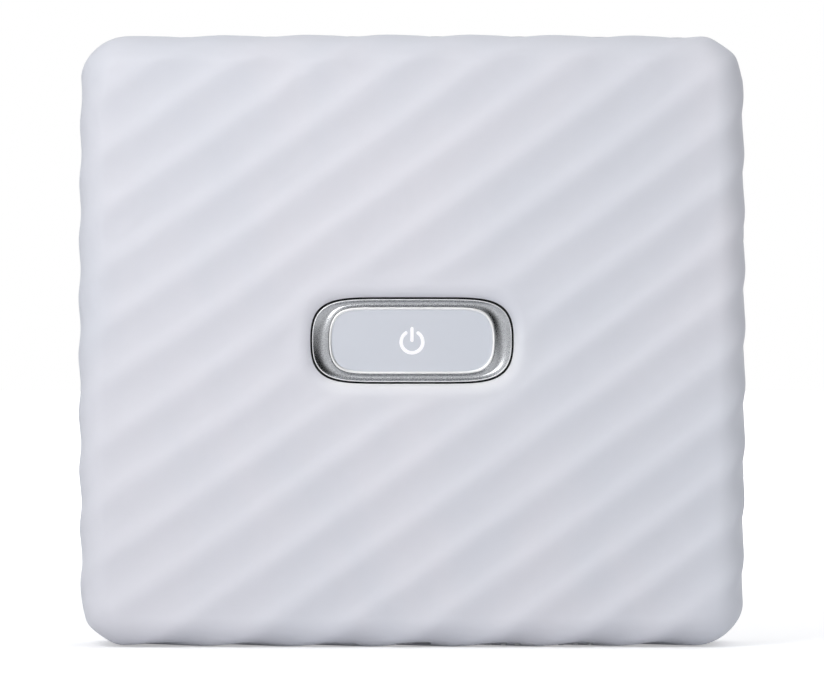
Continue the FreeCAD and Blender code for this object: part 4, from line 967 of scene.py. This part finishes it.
# ------------------------------------------------------------------- springs
def sweep(bm, path, section):
    """Sweep a closed section along a path that runs in a YZ plane; capped ends."""
    rings = []
    for i, point in enumerate(path):
        behind, ahead = path[max(i - 1, 0)], path[min(i + 1, len(path) - 1)]
        along = Vector((0, ahead[1] - behind[1], ahead[2] - behind[2])).normalized()
        u = Vector((1, 0, 0))
        v = u.cross(along)
        rings.append([bm.verts.new((Vector(point) + u * a + v * b) * MM) for a, b in section])
    n = len(section)
    for near, far in zip(rings[:-1], rings[1:]):
        for i in range(n):
            k = (i + 1) % n
            bm.faces.new((near[i], near[k], far[k], far[i]))
    bm.faces.new(list(reversed(rings[0])))
    bm.faces.new(rings[-1])


def round_corners(path, steps=5, radius=0.35):
    result = [path[0]]
    for before, point, after in zip(path, path[1:], path[2:]):
        corner = Vector(point)
        back, ahead = Vector(before) - corner, Vector(after) - corner
        reach = min(radius, back.length * 0.45, ahead.length * 0.45)
        start = corner + back.normalized() * reach
        end = corner + ahead.normalized() * reach
        for j in range(steps + 1):
            t = j / steps
            result.append(tuple(start * (1 - t) ** 2 + corner * 2 * t * (1 - t) + end * t * t))
    result.append(path[-1])
    return result


def spring_object(name, node, paths, section, start, end):
    """A spring swept along its paths."""
    bm = bmesh.new()
    for path in paths:
        sweep(bm, path, section)
    recalc_normals(bm)
    ob = mesh_object(name, bm, MATERIALS["spring_steel"])
    sharpen(ob.data, 40)
    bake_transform(ob)
    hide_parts(node)


def leaf_springs(name, node, width, thickness, foot, crest_half, feet_at_back):
    """Two bent leaves: feet on the first body, a flat crest against the second."""
    box = box_of(node)
    front, back = box.y0 + thickness / 2, box.y1 - thickness / 2
    foot_y, crest_y = (back, front) if feet_at_back else (front, back)
    thin = thickness / 2 - 0.002
    section = rounded_loop(-width / 2, width / 2, -thin, thin, thickness * 0.3, 3)
    # y, z
    profile = (
        (foot_y, box.z0 + 0.02),
        (foot_y, box.z0 + foot),
        (crest_y, box.mid_z - crest_half),
        (crest_y, box.mid_z + crest_half),
        (foot_y, box.z1 - foot),
        (foot_y, box.z1 - 0.02),
    )
    paths = [
        round_corners([(x, y, z) for y, z in profile])
        for x in (box.x0 + width / 2, box.x1 - width / 2)
    ]
    spring_object(name, node, paths, section,
                  start=(0.0, foot_y, box.mid_z), end=(0.0, crest_y, box.mid_z))


def claw_spring():
    """A wire waving in the YZ plane, with a straight tail at each end."""
    box = box_of("claw_spring")
    x, y = box.mid_x, box.mid_y
    wire = 0.17
    swing = (box.y1 - box.y0) / 2 - wire
    bottom, top = 39.3, 55.1
    half_waves, steps = 13, 12
    path = [(x, y, box.z0 + 0.03), (x, y, bottom - 0.2)]
    for i in range(half_waves * steps + 1):
        t = i / steps
        # the swing grows over the first half of a half-wave and dies over the last
        grow = min(1.0, t / 0.5, (half_waves - t) / 0.5)
        z = bottom + (top - bottom) * t / half_waves
        path.append((x, y + swing * grow * math.sin(math.pi * t), z))
    path += [(x, y, top + 0.2), (x, y, box.z1 - 0.03)]
    spring_object("claw_return_spring", "claw_spring", [path], circle_loop(0.0, 0.0, wire, 12),
                  start=(-62.9, 3.2, 38.9), end=(-62.9, 3.2, 55.6))


leaf_springs("button_leaf_springs", "button_springs", width=3.0, thickness=0.18, foot=0.55,
             crest_half=1.0, feet_at_back=True)
leaf_springs("bearing_leaf_springs", "bearing_springs", width=1.6, thickness=0.15, foot=0.5,
             crest_half=0.5, feet_at_back=False)
leaf_springs("pressure_leaf_springs", "pressure_springs", width=4.0, thickness=0.15, foot=0.9,
             crest_half=2.0, feet_at_back=True)
claw_spring()


# -------------------------------------------------------------------- studio
# everything below is in metres
def floor_glow(m, seen):
    """White floor to the camera, and a soft bounce close to the object."""
    x, y, _ = m.xyz(m.coords)
    distance = m.length(m.beyond(x, 0.0695), m.beyond(y, 0.010))
    bounce = m.falloff(distance, reach=0.030, gain=0.05)
    unseen = m.math("MULTIPLY", m.math("SUBTRACT", 1.0, seen), bounce)
    white = m.ramp(distance, start=0.12, end=0.9, low=0.38, high=1.0)
    return m.math("ADD", unseen, m.math("MULTIPLY", seen, white))


def floor_material():
    m = Shader("floor_white")
    mottle = m.noise(3.0, detail=2.0)
    seen = m.new("ShaderNodeLightPath").outputs["Is Camera Ray"]
    base = m.mix(m.ramp(mottle, start=0.3, end=0.7), (0.78, 0.78, 0.79), (0.82, 0.82, 0.83))
    m.finish({
        "Base Color": base,
        "Roughness": 0.9,
        "Emission Color": (1.0, 1.0, 1.0),
        "Emission Strength": floor_glow(m, seen),
        "Specular IOR Level": 0.1,
    })
    return m.material


def floor():
    half = 6.0
    bm = bmesh.new()
    corners = ((-half, -half, 0), (half, -half, 0), (half, half, 0), (-half, half, 0))
    bm.faces.new([bm.verts.new(corner) for corner in corners])
    ob = mesh_object("floor", bm, floor_material())
    ob.location.z = -0.00002    # just under the case


def area_light(name, location, target, size, power, in_reflections):
    light = bpy.data.lights.new(name, "AREA")
    light.energy = power
    light.size = size
    ob = link(bpy.data.objects.new(name, light))
    ob.location = location
    ob.rotation_mode = "QUATERNION"
    aim = Vector(target) - Vector(location)
    ob.rotation_quaternion = aim.to_track_quat("-Z", "Y")
    ob.visible_camera = False
    ob.visible_glossy = in_reflections


def studio_world():
    """White to the camera; an even light otherwise, but reflections see it
    bright on the left and dark on the right."""
    world = bpy.data.worlds.new("studio")
    bpy.context.scene.world = world
    world.use_nodes = True
    g = Graph(world.node_tree)
    ray = g.new("ShaderNodeLightPath").outputs
    x, _, z = g.xyz(g.new("ShaderNodeTexCoord").outputs["Generated"])
    ambient = g.ramp(z, start=-0.5, end=0.8, low=0.50, high=0.51)
    reflected = g.ramp(x, start=-0.35, end=0.70, low=0.85, high=0.0)
    strength = g.new("ShaderNodeMix", {0: ray["Is Glossy Ray"], 2: ambient, 3: reflected},
                     data_type="FLOAT").outputs[0]
    backdrop = g.new("ShaderNodeBackground", {"Color": (1.0, 1.0, 1.0), "Strength": 1.0})
    light = g.new("ShaderNodeBackground", {"Color": (0.98, 0.99, 1.0), "Strength": strength})
    mix = g.new("ShaderNodeMixShader", {
        0: ray["Is Camera Ray"], 1: light.outputs[0], 2: backdrop.outputs[0]})
    g.new("ShaderNodeOutputWorld", {0: mix.outputs[0]})


def front_camera():
    """A long lens square on to the front."""
    data = bpy.data.cameras.new("camera")
    data.sensor_width = SENSOR_WIDTH
    data.lens = SENSOR_WIDTH * CAMERA_DISTANCE / VIEW_WIDTH
    data.clip_start = 0.01
    data.clip_end = 50.0
    ob = link(bpy.data.objects.new("camera", data))
    focus_y = (CASE.y0 + ROLL_DEPTH) * MM
    ob.location = (0.0, focus_y - CAMERA_DISTANCE, CASE_MID_HEIGHT + CAMERA_RISE)
    ob.rotation_euler = (math.pi / 2, 0, 0)
    bpy.context.scene.camera = ob


floor()
CENTRE = (0.0, 0.0, CASE_MID_HEIGHT)
# name, location, target, size, power in watts, seen in reflections
for light_row in (
    ("key", (-0.16, -0.40, 0.27), (0.0, -0.01, 0.075), 0.14, 0.66, True),
    ("key_soft", (-0.45, -0.9, 0.6), CENTRE, 0.4, 0.45, False),
    ("top", (0.0, -0.2, 1.3), CENTRE, 1.4, 3.5, False),
    ("left", (-1.2, -0.25, 0.25), CENTRE, 0.8, 0.85, False),
    ("back_soft", (0.5, 1.2, 0.5), CENTRE, 1.2, 8.0, False),
):
    area_light(*light_row)
studio_world()
view = bpy.context.scene.view_settings
view.view_transform = "Standard"
view.look = "None"
front_camera()
